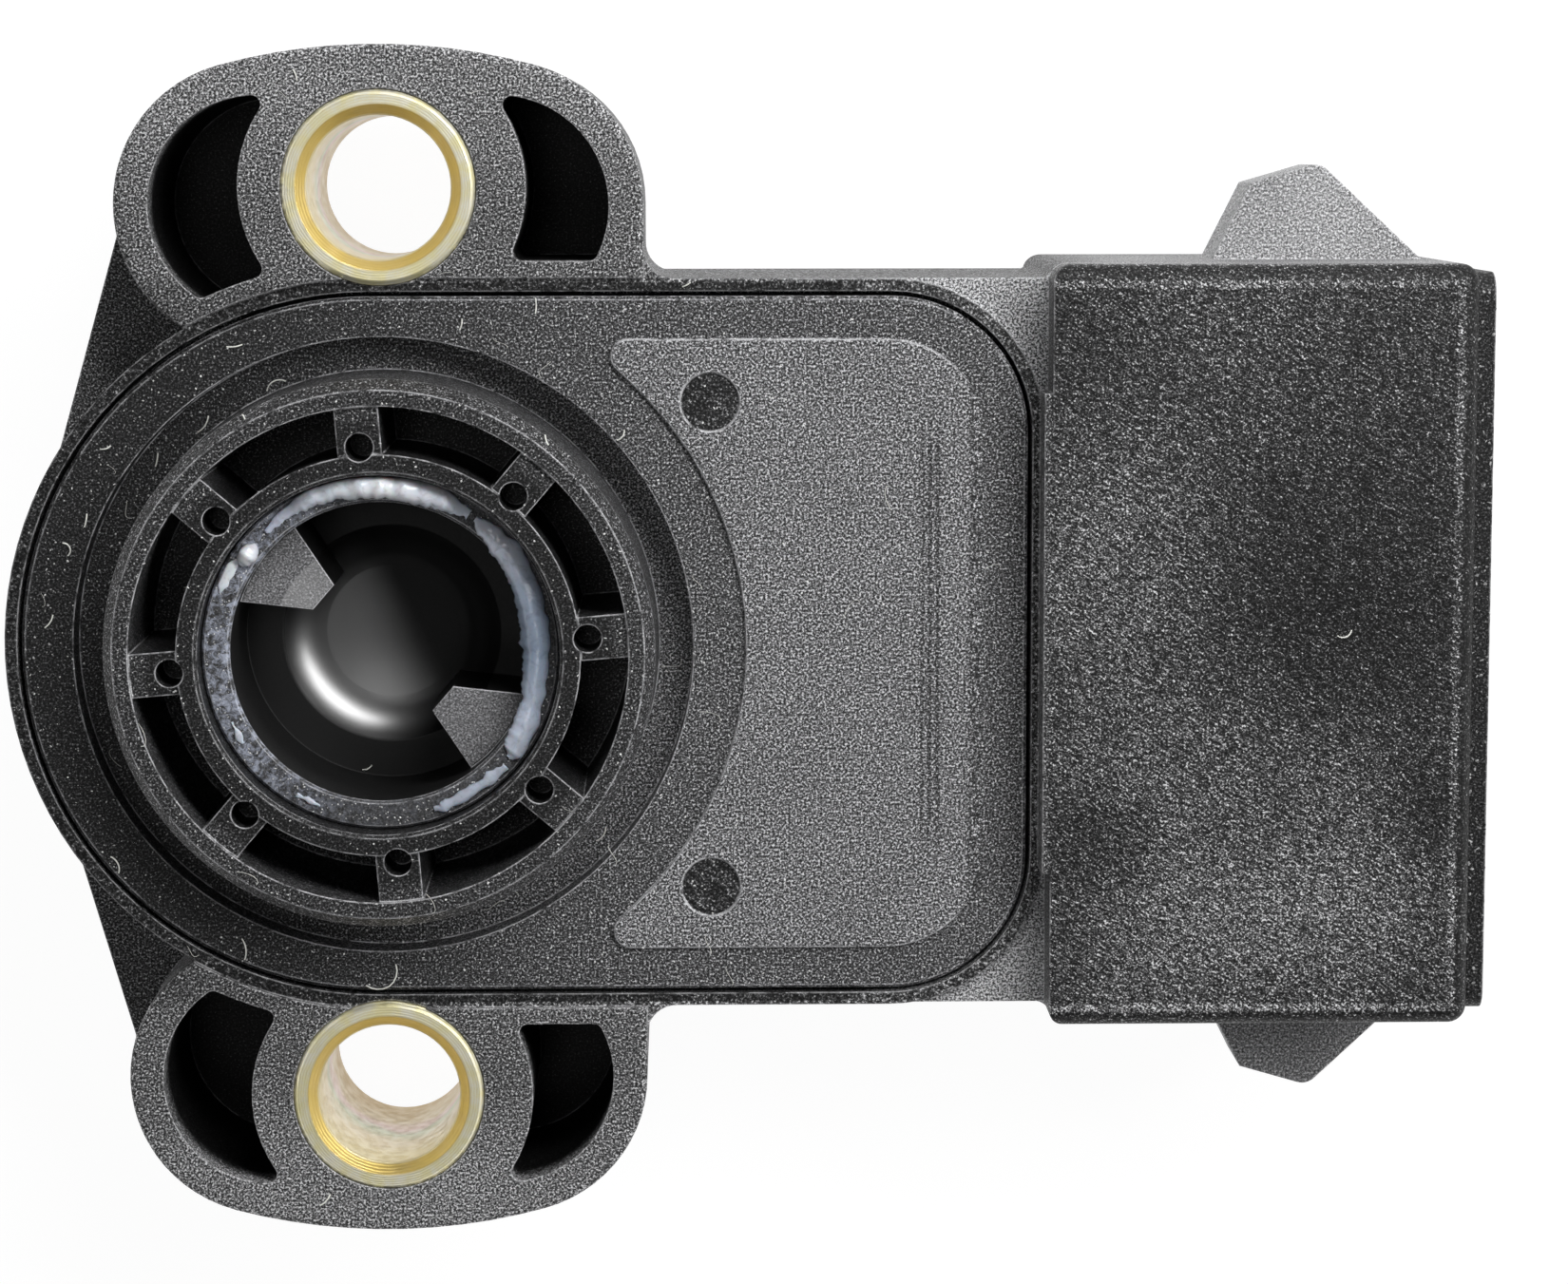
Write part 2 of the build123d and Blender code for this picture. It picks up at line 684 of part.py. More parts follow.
# Rotor: cup with a bowl in its floor, drive dogs, flange and lower hub
with BuildPart() as rotor:
    with BuildSketch(Plane.XZ):
        with BuildLine():
            dish = TangentArc((0, bowl_bottom), (bowl_floor_radius, bowl_dish_top), tangent=(1, 0))
            TangentArc((bowl_floor_radius, bowl_dish_top), (bowl_radius, socket_floor), tangent=dish % 1)
            Polyline(
                (bowl_radius, socket_floor),
                (rotor_bore_radius, socket_floor),
                (rotor_bore_radius, rotor_rise - rotor_edge),
                (rotor_bore_radius + rotor_edge, rotor_rise),
                (sleeve_radius - rotor_edge, rotor_rise),
                (sleeve_radius, rotor_rise - rotor_edge),
                (sleeve_radius, flange_top),
                (flange_radius, flange_top),
                (flange_radius, flange_bottom),
                (lower_hub_radius, flange_bottom),
                (lower_hub_radius, lower_hub_bottom),
                (post_radius + running_gap, lower_hub_bottom),
                (post_radius + running_gap, post_bore_top),
                (0, post_bore_top),
                (0, bowl_bottom),
            )
        make_face()
    revolve(axis=Axis.Z)

    # Two wedge-shaped drive dogs on the wall of the cup
    with BuildSketch(Plane.XY.offset(socket_floor)):
        with PolarLocations(0, 2, start_angle=dog_angle):
            Polygon(
                (dog_reach, -dog_face / 2),
                (dog_root, -dog_root_back),
                (dog_root, dog_root_front),
                (dog_reach, dog_face / 2),
                align=None,
            )
    extrude(amount=dog_top - socket_floor)

    # Tab that meets the stops, peg for the spring, and stakes for the wiper
    with BuildSketch(Plane.XY.offset(flange_bottom)):
        with PolarLocations(lower_hub_radius, 1, start_angle=stop_angle):
            Rectangle(stop_tab_length, stop_tab_width, align=(Align.MIN, Align.CENTER))
    extrude(amount=flange_thickness)
    with BuildSketch(spring_end_plane.offset(flange_bottom)):
        with Locations((spring_peg_radius, -spring_peg_side)):
            Circle(spring_peg_diameter / 2)
    extrude(amount=-spring_peg_length)
    with BuildSketch(wiper_plane.offset(flange_bottom)):
        with Locations(*wiper_stakes):
            Circle(wiper_stake_diameter / 2)
    extrude(amount=-wiper_thickness)
    with BuildSketch(wiper_plane.offset(flange_bottom - wiper_thickness)):
        with Locations(*wiper_stakes):
            Circle(wiper_stake_head / 2)
    extrude(amount=-wiper_thickness)
finish(rotor, "rotor")

# Return spring: a coil with a leg bent out at each end
with BuildPart() as return_spring:
    with BuildLine():
        spring_pitch = spring_height / spring_turns
        coil = Helix(spring_pitch, spring_height, spring_radius, center=(0, 0, spring_bottom))
    with BuildSketch(Plane(origin=coil @ 0, z_dir=coil % 0)):
        RegularPolygon(spring_wire / 2, spring_wire_sides)
    sweep(path=coil, is_frenet=True)
    for leg_start in (coil @ 0, coil @ 1):
        outward = Vector(leg_start.X, leg_start.Y, 0).normalized()
        with BuildSketch(Plane(origin=leg_start, z_dir=outward)):
            RegularPolygon(spring_wire / 2, spring_wire_sides, rotation=180 / spring_wire_sides)
        extrude(amount=spring_leg)
finish(return_spring, "return_spring")

# Track board, its two tracks and the conductors printed from them to the contacts
with BuildPart() as track_board:
    with BuildSketch(Plane.XY.offset(floor_top)):
        Circle(board_half_width)
        with Locations((board_end / 2, 0)):
            Rectangle(board_end, 2 * board_half_width)
        Circle(board_hole_radius, mode=Mode.SUBTRACT)
        with GridLocations(0, 2 * stake_y, 1, 2):
            with Locations((stake_x, 0)):
                Circle(stake_diameter / 2 + stake_clearance, mode=Mode.SUBTRACT)
    extrude(amount=board_thickness)
finish(track_board, "track_board")

resistor_band = arc_band(resistor_inner, resistor_outer, resistor_half_gap, 360 - resistor_half_gap)
with BuildPart() as resistor_track:
    with BuildSketch(Plane.XY.offset(board_top)):
        add(resistor_band)
    extrude(amount=print_thickness)
finish(resistor_track, "resistor_track")

with BuildPart() as collector_track:
    with BuildSketch(Plane.XY.offset(board_top)):
        Circle(collector_outer)
        Circle(collector_inner, mode=Mode.SUBTRACT)
    extrude(amount=print_thickness)
finish(collector_track, "collector_track")

for name, side in {"supply_conductor": 1, "ground_conductor": -1}.items():
    with BuildPart() as conductor:
        with BuildSketch(Plane.XY.offset(board_top)):
            with BuildLine():
                Polyline(
                    (resistor_end_x, side * resistor_end_y),
                    (resistor_end_x + conductor_straight, side * resistor_end_y),
                    (resistor_end_x + conductor_straight + conductor_step, side * terminal_pitch),
                    (conductor_end, side * terminal_pitch),
                )
            trace(line_width=conductor_width)
            add(resistor_band, mode=Mode.SUBTRACT)
        extrude(amount=print_thickness)
    finish(conductor, name)

with BuildPart() as signal_conductor:
    with BuildSketch(Plane.XY.offset(board_top)):
        with BuildLine():
            Line((collector_inner, 0), (conductor_end, 0))
        trace(line_width=conductor_width)
        Circle(collector_outer, mode=Mode.SUBTRACT)
    extrude(amount=print_thickness)
finish(signal_conductor, "signal_conductor")

# Wiper: a plate staked under the flange, with two fingered arms sprung down on the tracks
with BuildPart() as wiper:
    with BuildSketch(wiper_plane.offset(flange_bottom)):
        with Locations((wiper_plate_x, wiper_plate_y)):
            Rectangle(resistor_middle - collector_middle + wiper_arm_width, wiper_plate_length)
        with Locations(*wiper_stakes):
            Circle(wiper_stake_diameter / 2 + insert_clearance, mode=Mode.SUBTRACT)
    extrude(amount=-wiper_thickness)
    plate_middle = flange_bottom - wiper_thickness / 2
    tip_middle = print_top + wiper_tip_gap + wiper_thickness / 2
    for arm_radius in (collector_middle, resistor_middle):
        arm_origin = wiper_plane.from_local_coords(Vector(arm_radius - wiper_arm_width / 2, 0, 0))
        with BuildSketch(Plane(origin=arm_origin, x_dir=wiper_plane.y_dir, z_dir=wiper_plane.x_dir)):
            with BuildLine():
                FilletPolyline(
                    (-wiper_run - wiper_plate_length / 4, plate_middle),
                    (-wiper_run, plate_middle),
                    (-wiper_tip_length, tip_middle),
                    (wiper_tip_length, tip_middle + wiper_tip_length),
                    radius=wiper_bend,
                )
            trace(line_width=wiper_thickness)
        extrude(amount=wiper_arm_width)
        with BuildSketch(wiper_plane.offset(flange_bottom)):
            with Locations((arm_radius, 0)):
                with GridLocations(wiper_arm_width / 3, 0, 2, 1):
                    Rectangle(wiper_tine_gap, 2 * (wiper_run - wiper_tip_length))
        extrude(amount=print_top - flange_bottom, mode=Mode.SUBTRACT)
finish(wiper, "wiper")

# Terminals from the connector's mouth down to the board, each with its leaf contact
for name, row in {"supply": 1, "signal": 0, "ground": -1}.items():
    with BuildPart() as terminal:
        with BuildSketch(Plane.XZ.offset(-row * terminal_pitch)):
            with BuildLine():
                FilletPolyline(
                    (terminal_tip, terminal_z),
                    (terminal_drop_x, terminal_z),
                    (terminal_drop_x, foot_middle),
                    (terminal_drop_x - terminal_foot, foot_middle),
                    radius=terminal_bend,
                )
            trace(line_width=terminal_thickness)
        extrude(amount=terminal_width / 2, both=True)
        chamfer(terminal.faces().sort_by(Axis.X)[-1].edges(), terminal_point)
    finish(terminal, f"{name}_terminal")
    with BuildPart() as contact:
        with BuildSketch(Plane.XZ.offset(-row * terminal_pitch)):
            with BuildLine():
                FilletPolyline(
                    (contact_x + contact_length / 2, print_top + contact_thickness / 2),
                    (contact_x - contact_length / 2, print_top + contact_thickness / 2),
                    (contact_x - contact_length / 2, print_top + contact_height - contact_thickness / 2),
                    (contact_x + contact_length / 2, print_top + contact_height - contact_thickness / 2),
                    radius=contact_bend,
                )
            trace(line_width=contact_thickness)
        extrude(amount=contact_width / 2, both=True)
    finish(contact, f"{name}_contact")
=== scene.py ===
import bpy
import bmesh
import json
import math
from mathutils import Matrix, Vector, noise
from mathutils.bvhtree import BVHTree

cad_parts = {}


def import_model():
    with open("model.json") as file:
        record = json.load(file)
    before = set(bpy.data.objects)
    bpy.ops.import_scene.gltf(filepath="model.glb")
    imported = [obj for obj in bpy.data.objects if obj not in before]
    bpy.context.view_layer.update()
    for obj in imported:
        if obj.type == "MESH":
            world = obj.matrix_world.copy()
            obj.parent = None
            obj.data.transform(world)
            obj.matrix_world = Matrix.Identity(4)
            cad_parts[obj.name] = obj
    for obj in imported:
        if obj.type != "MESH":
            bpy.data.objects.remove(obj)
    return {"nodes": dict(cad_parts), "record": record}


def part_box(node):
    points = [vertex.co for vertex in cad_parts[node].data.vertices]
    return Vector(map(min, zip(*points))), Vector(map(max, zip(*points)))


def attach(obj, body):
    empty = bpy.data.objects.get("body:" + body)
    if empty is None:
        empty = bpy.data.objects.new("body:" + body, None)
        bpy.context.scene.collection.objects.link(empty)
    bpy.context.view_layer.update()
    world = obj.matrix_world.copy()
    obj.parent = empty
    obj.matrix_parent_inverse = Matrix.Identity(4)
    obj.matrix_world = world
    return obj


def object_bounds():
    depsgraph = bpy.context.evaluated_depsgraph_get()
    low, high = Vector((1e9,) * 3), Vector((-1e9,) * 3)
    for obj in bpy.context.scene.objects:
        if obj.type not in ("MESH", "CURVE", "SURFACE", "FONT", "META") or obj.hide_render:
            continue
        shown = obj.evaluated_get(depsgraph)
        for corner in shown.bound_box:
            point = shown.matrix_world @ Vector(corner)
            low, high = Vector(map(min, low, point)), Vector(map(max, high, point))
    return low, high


# throttle position sensor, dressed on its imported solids: x to the connector, z out of the mounting face
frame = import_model()
cadLow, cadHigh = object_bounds()
nodes = frame["nodes"]
mm = 0.001
print("frame loaded:", len(nodes), "nodes")


# small helpers for node trees, used by shaders and geometry alike
def put(tree, kind, wires=None, **settings):
    made = tree.nodes.new(kind)
    for key, value in settings.items():
        setattr(made, key, value)
    for key, value in (wires or {}).items():
        if isinstance(value, bpy.types.NodeSocket):
            tree.links.new(value, made.inputs[key])
        else:
            made.inputs[key].default_value = value
    return made


def calc(tree, operation, first, second=0.0):
    return put(tree, "ShaderNodeMath", {0: first, 1: second}, operation=operation).outputs[0]


def fold(tree, operation, values):
    total = values[0]
    for value in values[1:]:
        total = calc(tree, operation, total, value)
    return total


def times(tree, *values):
    return fold(tree, "MULTIPLY", values)


def plus(tree, *values):
    return fold(tree, "ADD", values)


def less(tree, first, second):
    return calc(tree, "SUBTRACT", first, second)


def fit(tree, value, low, high, toLow=0.0, toHigh=1.0):
    wires = {0: value, 1: low, 2: high, 3: toLow, 4: toHigh}
    return put(tree, "ShaderNodeMapRange", wires, interpolation_type="SMOOTHSTEP").outputs[0]


def past(tree, value, edge, soft):
    return fit(tree, value, edge - soft, edge + soft)


def before(tree, value, edge, soft):
    return fit(tree, value, edge - soft, edge + soft, 1.0, 0.0)


def between(tree, value, low, high, soft):
    return times(tree, past(tree, value, low, soft), before(tree, value, high, soft))


def lerp(tree, factor, first, second):
    return put(tree, "ShaderNodeMix", {0: factor, 2: first, 3: second}, data_type="FLOAT").outputs[0]


def tintMix(tree, factor, first, second):
    tints = [tint if isinstance(tint, bpy.types.NodeSocket) else (*tint, 1.0) for tint in (first, second)]
    return put(tree, "ShaderNodeMix", {0: factor, 6: tints[0], 7: tints[1]}, data_type="RGBA").outputs[2]


def scaled(tree, vector, factor):
    return put(tree, "ShaderNodeVectorMath", {0: vector, 3: factor}, operation="SCALE").outputs[0]


def ramp(tree, factor, stops):
    made = put(tree, "ShaderNodeValToRGB", {0: factor})
    elements = made.color_ramp.elements
    while len(elements) < len(stops):
        elements.new(1.0)
    for element, (place, colour) in zip(elements, stops):
        element.position = place
        element.color = (*colour, 1.0)
    return made.outputs[0]


def cloud(tree, spot, perMm, detail=2.0, roughness=0.6, distortion=0.0):
    wires = {"Vector": spot, "Scale": perMm, "Detail": detail, "Roughness": roughness, "Distortion": distortion}
    return put(tree, "ShaderNodeTexNoise", wires).outputs[0]


def swung(tree, pattern, reach):
    return times(tree, less(tree, pattern, 0.5), reach)


def doubled(tree, stops):
    return calc(tree, "POWER", 2.0, stops)


def turned(tree, spot, angle, stretch):
    sizes = [1.0 / perMm for perMm in stretch]
    wires = {"Vector": spot, "Rotation": (0.0, 0.0, math.radians(angle)), "Scale": sizes}
    return put(tree, "ShaderNodeMapping", wires, vector_type="TEXTURE").outputs[0]


def distanceTo(tree, spot, x, y):
    flat = put(tree, "ShaderNodeVectorMath", {0: spot, 1: (1.0, 1.0, 0.0)}, operation="MULTIPLY").outputs[0]
    return put(tree, "ShaderNodeVectorMath", {0: flat, 1: (x, y, 0.0)}, operation="DISTANCE").outputs["Value"]


def startFinish(name):
    material = bpy.data.materials.new(name)
    material.use_nodes = True
    tree = material.node_tree
    spot = scaled(tree, put(tree, "ShaderNodeTexCoord").outputs["Object"], 1.0 / mm)  # millimetres
    axes = put(tree, "ShaderNodeSeparateXYZ", {0: spot}).outputs
    return material, tree, tree.nodes["Principled BSDF"], spot, axes[0], axes[1], axes[2]


def setShader(tree, shader, **values):
    for key, value in values.items():
        socket = shader.inputs[key.replace("_", " ")]
        if isinstance(value, bpy.types.NodeSocket):
            tree.links.new(value, socket)
        else:
            socket.default_value = value


def relief(tree, height, strength, depth, bevelled=None):
    wires = {"Height": height, "Strength": strength, "Distance": depth * mm}
    if bevelled:
        wires["Normal"] = bevelled
    return put(tree, "ShaderNodeBump", wires).outputs[0]


def rounded(tree, edge):
    return put(tree, "ShaderNodeBevel", {"Radius": edge * mm}, samples=6).outputs[0]


# black glass-filled moulding: tone is the mean grey, swing the grain's reach in stops either way
noiseSpan = (0.3, 0.7)
mouldGrain = {"detail": (2.0, 0.7), "blotchDetail": (3.0, 0.55), "rubAndHighlightNoise": (1.7, 3.0), "rubAndHighlightSpan": (0.3, 0.6),
              "rubAndHighlightTurn": (0.995, 0.9), "brightest": 0.85}


def edgeRubAndHighlight(tree, bevelled):
    flat = put(tree, "ShaderNodeNewGeometry").outputs["Normal"]
    turn = put(tree, "ShaderNodeVectorMath", {0: bevelled, 1: flat}, operation="DOT_PRODUCT").outputs["Value"]
    return fit(tree, turn, *mouldGrain["rubAndHighlightTurn"])


def mouldedLook(tree, shader, spot, tone, swing, look, rubAndHighlightShare=1.0):
    fine = cloud(tree, spot, look["grainPerMm"], *mouldGrain["detail"])
    broad = cloud(tree, spot, look["blotchPerMm"], *mouldGrain["blotchDetail"])
    stops = plus(tree, swung(tree, fine, swing), swung(tree, broad, look["blotch"]))
    grey = times(tree, tone, doubled(tree, stops))
    bevelled = rounded(tree, look["edge"])
    # every edge is lightened: partly rubbed plastic, partly a painted edge highlight
    patches = fit(tree, cloud(tree, spot, *mouldGrain["rubAndHighlightNoise"]), *mouldGrain["rubAndHighlightSpan"])
    rubAndHighlight = times(tree, edgeRubAndHighlight(tree, bevelled), patches, look["rubAndHighlight"], rubAndHighlightShare)
    level = calc(tree, "MINIMUM", plus(tree, grey, rubAndHighlight), mouldGrain["brightest"])
    rough = fit(tree, fine, *noiseSpan, *look["rough"])
    normal = relief(tree, fine, look["bump"], look["bumpDepth"], bevelled)
    setShader(tree, shader, Base_Color=scaled(tree, look["tint"], level), Roughness=rough, Normal=normal,
              Specular_IOR_Level=look["gloss"])
    return fine


# housing: greys, stops, then places in millimetres; connectorStart, lipStart and the bands end in their softness,
# and a connector patch is x, y, reach and stops
housingLook = {
    "grainPerMm": 10.0, "blotchPerMm": 0.16, "blotch": 1.2, "tint": (1.0, 1.0, 1.02),
    "rough": (0.62, 0.42), "bump": 0.35, "bumpDepth": 0.03, "edge": 0.13, "gloss": 0.25, "rubAndHighlight": 0.4,
    "plain": 0.058, "ear": (0.088, 0.145), "shoulder": 0.35, "rim": 0.018, "connector": 0.02,
    "lug": (0.25, 0.32), "lip": 0.014, "pocketShade": 0.04,
    "swing": (23.0, 24.0), "lugSwing": 12.0, "streak": 16.0, "edgeHighlight": 1.5, "filletShade": -1.3,
    "earLine": (15.6, 16.2), "earEnd": (15.5, 14.5), "earLevel": (-1.4, -0.6), "earFade": (18.5, 24.5),
    "connectorStart": (29.0, 0.1), "boxLevel": (0.85, 1.1), "lugSide": (16.6, 16.8), "lugStart": (29.0, 33.0),
    "lugLightFade": (-17.0, 17.0), "shoulderStart": (21.0, 22.0), "shoulderBand": (-1.0, -0.6, 0.1),
    "rimSide": (15.91, 15.85), "rimBand": (-0.6, -0.22, 0.05), "rimEnd": (21.0, 20.0),
    "pocketCentre": (5.2, 19.21), "pocketReach": (5.35, 4.95), "pocketTop": (-0.7, -2.2),
    "pocketFloor": (-10.7, -10.3), "flatTop": (46.8, 15.9), "lipStart": (47.62, 0.05),
    "edgeHighlightBand": (-0.12, 0.22, 0.08), "filletShadeSpan": (-0.1, -0.3),
    "fibreTurn": -33.0, "fibrePerMm": (2.8, 9.0, 9.0), "fibreNoise": (1.0, 3.0, 0.7, 0.4),
    "connectorPatches": ((38.0, -9.5, 12.0, 1.4), (33.0, -13.5, 8.0, 0.9), (42.5, -12.5, 7.0, 0.9), (31.5, -3.0, 8.0, 1.0),
             (31.0, 5.0, 9.0, 1.5), (36.0, 15.0, 9.0, 0.6), (42.5, 2.0, 9.0, -0.9), (31.5, -8.5, 4.0, -1.0),
             (46.0, -7.0, 4.0, -0.6)),
}


def housingFinish():
    look = housingLook
    material, tree, shader, spot, x, y, z = startFinish("housingPlastic")
    side = calc(tree, "ABSOLUTE", y)

    def spread(value, key, *ends):
        return fit(tree, value, *look[key], *ends)

    ear = times(tree, spread(side, "earLine"), spread(x, "earEnd"), spread(z, "earLevel"))
    box = times(tree, past(tree, x, *look["connectorStart"]), spread(z, "boxLevel"))
    lug = times(tree, spread(side, "lugSide"), spread(x, "lugStart"))
    shoulder = times(tree, spread(x, "shoulderStart"), between(tree, z, *look["shoulderBand"]))
    rim = times(tree, spread(side, "rimSide"), between(tree, z, *look["rimBand"]), spread(x, "rimEnd"))
    lip = past(tree, x, *look["lipStart"])
    tone = lerp(tree, ear, look["plain"], spread(side, "earFade", *look["ear"]))
    # painted light: the shoulder beside the connector is lightened against the connector's shadow
    tone = lerp(tree, shoulder, tone, look["shoulder"])
    tone = lerp(tree, rim, tone, look["rim"])
    tone = lerp(tree, box, tone, look["connector"])
    # painted light: the lug region, its walls included, is lightened, more on the +y side where the key light falls
    tone = lerp(tree, lug, tone, spread(y, "lugLightFade", *look["lug"]))
    tone = lerp(tree, lip, tone, look["lip"])
    # painted shade: the deep pockets in the ears are darkened nearly to black
    corner = put(tree, "ShaderNodeCombineXYZ", {0: calc(tree, "ABSOLUTE", x), 1: side}).outputs[0]
    inPocket = spread(distanceTo(tree, corner, *look["pocketCentre"]), "pocketReach")
    pocket = times(tree, inPocket, spread(z, "pocketTop"), spread(z, "pocketFloor"))
    tone = times(tree, tone, lerp(tree, pocket, 1.0, look["pocketShade"]))
    # lighter and darker patches on the connector, each round a given place
    patchLifts = []
    for patchX, patchY, reach, stops in look["connectorPatches"]:
        patchLifts.append(fit(tree, distanceTo(tree, spot, patchX, patchY), 0.0, reach, stops, 0.0))
    # glass fibres near the skin
    streaks = cloud(tree, turned(tree, spot, look["fibreTurn"], look["fibrePerMm"]), *look["fibreNoise"])
    # painted highlight line where the flat top turns into the rounded edges, and painted shade on the rounded edges
    endX, endSide = look["flatTop"]
    inset = calc(tree, "MINIMUM", less(tree, endX, x), less(tree, endSide, side))
    edgeHighlight = times(tree, between(tree, inset, *look["edgeHighlightBand"]), look["edgeHighlight"])
    filletShade = spread(inset, "filletShadeSpan", 0.0, look["filletShade"])
    edges = times(tree, plus(tree, edgeHighlight, filletShade), less(tree, 1.0, lip))
    lift = times(tree, box, plus(tree, *patchLifts, swung(tree, streaks, look["streak"]), edges))
    tone = times(tree, tone, doubled(tree, lift))
    swing = lerp(tree, lug, lerp(tree, box, *look["swing"]), look["lugSwing"])
    mouldedLook(tree, shader, spot, tone, swing, look)
    return material


# cover: greys, stops, then places in millimetres; the radii, padLevel, flowRun and the bands end in their softness
coverLook = {
    "grainPerMm": 10.0, "blotchPerMm": 0.2, "blotch": 0.7, "tint": (1.0, 1.0, 1.03),
    "rough": (0.6, 0.36), "bump": 0.3, "bumpDepth": 0.03, "edge": 0.13, "gloss": 0.3, "rubAndHighlight": 0.7,
    "plain": (0.013, 0.068), "hub": (0.01, 0.03), "trough": 1.5, "pad": 0.13, "ejector": 0.02,
    "swing": 24.0, "ejectorStreak": 12.0, "flowShade": -1.3, "slopeShade": -0.9,
    "plainFade": (-10.0, 16.0), "hubRadius": (12.1, 0.1), "hubRings": (9.8, 10.4), "troughRadius": (13.6, 0.05),
    "padLevel": (-0.16, 0.03), "ejectors": ((14.3, 10.7), (14.3, -10.7)), "ejectorRadius": (1.3, 0.04),
    "ejectorTurn": -38.0, "ejectorPerMm": (1.2, 8.0, 1.0), "ejectorNoise": (1.0, 3.0, 0.7),
    "flowBand": (23.55, 24.4, 0.12), "flowRun": (-8.5, 9.6, 1.5), "wobble": (0.25, 0.3),
    "ripple": {"Scale": 0.9, "Distortion": 1.2, "Detail": 2.0}, "rippleSpan": (0.35, 0.8),
    "slopeBand": (25.62, 26.35, 0.08), "noRubOrHighlightBand": (25.3, 26.7, 0.15),
}


def coverFinish():
    look = coverLook
    material, tree, shader, spot, x, y, z = startFinish("coverPlastic")
    radius = distanceTo(tree, spot, 0.0, 0.0)
    outer = past(tree, radius, *look["troughRadius"])
    inHub = before(tree, radius, *look["hubRadius"])
    pad = times(tree, outer, past(tree, z, *look["padLevel"]))
    toMarks = [distanceTo(tree, spot, *place) for place in look["ejectors"]]
    nearEjector = fold(tree, "MAXIMUM", [before(tree, away, *look["ejectorRadius"]) for away in toMarks])
    tone = fit(tree, x, *look["plainFade"], *look["plain"])
    tone = times(tree, tone, lerp(tree, outer, look["trough"], 1.0))
    tone = lerp(tree, inHub, tone, fit(tree, radius, *look["hubRings"], *look["hub"]))
    tone = lerp(tree, pad, tone, look["pad"])
    tone = lerp(tree, times(tree, nearEjector, less(tree, 1.0, pad)), tone, look["ejector"])
    # flow marks that run down the pad, and painted shade on its sloping end
    wobblePerMm, wobbleReach = look["wobble"]
    wobble = swung(tree, cloud(tree, spot, wobblePerMm), wobbleReach)
    ripple = put(tree, "ShaderNodeTexWave", {"Vector": spot, **look["ripple"]}, bands_direction="X").outputs[1]
    across = between(tree, plus(tree, x, wobble), *look["flowBand"])
    down = between(tree, y, *look["flowRun"])
    flow = times(tree, across, down, fit(tree, ripple, *look["rippleSpan"]))
    slope = between(tree, x, *look["slopeBand"])
    onPad = plus(tree, times(tree, flow, look["flowShade"]), times(tree, slope, look["slopeShade"]))
    streaks = cloud(tree, turned(tree, spot, look["ejectorTurn"], look["ejectorPerMm"]), *look["ejectorNoise"])
    onMark = times(tree, nearEjector, swung(tree, streaks, look["ejectorStreak"]))
    tone = times(tree, tone, doubled(tree, plus(tree, times(tree, onPad, pad), onMark)))
    rubAndHighlightShare = less(tree, 1.0, between(tree, x, *look["noRubOrHighlightBand"]))
    mouldedLook(tree, shader, spot, tone, look["swing"], look, rubAndHighlightShare)
    return material


# rotor: greys, film of grease on the rim, places, and the greased side of the bowl as a heading and a fade
rotorLook = {
    "grainPerMm": 11.0, "blotchPerMm": 0.3, "blotch": 0.6, "tint": (1.0, 1.0, 1.04),
    "rough": (0.62, 0.55), "bump": 0.05, "bumpDepth": 0.02, "edge": 0.1, "gloss": 0.5, "rubAndHighlight": 0.9,
    "bore": 0.002, "dog": 0.17, "rim": 0.045, "swing": (1.5, 10.0), "slopeRough": 0.3,
    "film": (0.72, 0.78, 0.95), "filmShare": (0.6, 0.06), "filmFade": (-6.8, -0.5),
    "smear": (2.6, 5.0, 0.75, 0.8), "smearSpan": (0.42, 0.66),
    "dogLevel": (-0.1, 0.0), "dogRadius": (6.5, 6.4), "rimLevel": (1.3, 1.5),
    "rubAndHighlightLevel": (-0.4, -0.1), "bowlRadius": (4.9, 4.8), "slopeFacing": (0.995, 0.94),
    "greaseHeading": (0.9, 0.45), "greaseFade": (1.4, -2.6), "coatRough": 0.32, "coatIor": 2.65,
}


def rotorFinish():
    look = rotorLook
    material, tree, shader, spot, x, y, z = startFinish("rotorPlastic")
    radius = distanceTo(tree, spot, 0.0, 0.0)
    dog = times(tree, fit(tree, z, *look["dogLevel"]), fit(tree, radius, *look["dogRadius"]))
    rim = fit(tree, z, *look["rimLevel"])
    # painted shade: below the rim and the dogs the rotor's bore is near black
    tone = lerp(tree, dog, look["bore"], look["dog"])
    tone = lerp(tree, rim, tone, look["rim"])
    swing = fit(tree, z, *look["dogLevel"], *look["swing"])
    fine = mouldedLook(tree, shader, spot, tone, swing, look, fit(tree, z, *look["rubAndHighlightLevel"]))
    # thin smear of grease left on the rim, and a gloss on the bowl's sides
    smear = fit(tree, cloud(tree, spot, *look["smear"]), *look["smearSpan"])
    share = times(tree, smear, rim, fit(tree, x, *look["filmFade"], *look["filmShare"]))
    film = tintMix(tree, share, shader.inputs["Base Color"].links[0].from_socket, look["film"])
    normal = put(tree, "ShaderNodeNewGeometry").outputs["Normal"]
    facing = put(tree, "ShaderNodeSeparateXYZ", {0: normal}).outputs[2]
    inBowl = fit(tree, radius, *look["bowlRadius"])
    slope = times(tree, fit(tree, facing, *look["slopeFacing"]), inBowl)
    across = plus(tree, times(tree, x, look["greaseHeading"][0]), times(tree, y, look["greaseHeading"][1]))
    greased = times(tree, fit(tree, across, *look["greaseFade"]), inBowl)
    rough = lerp(tree, slope, fit(tree, fine, *noiseSpan, *look["rough"]), look["slopeRough"])
    setShader(tree, shader, Base_Color=film, Roughness=rough, Coat_Weight=greased,
              Coat_Roughness=look["coatRough"], Coat_IOR=look["coatIor"])
    return material


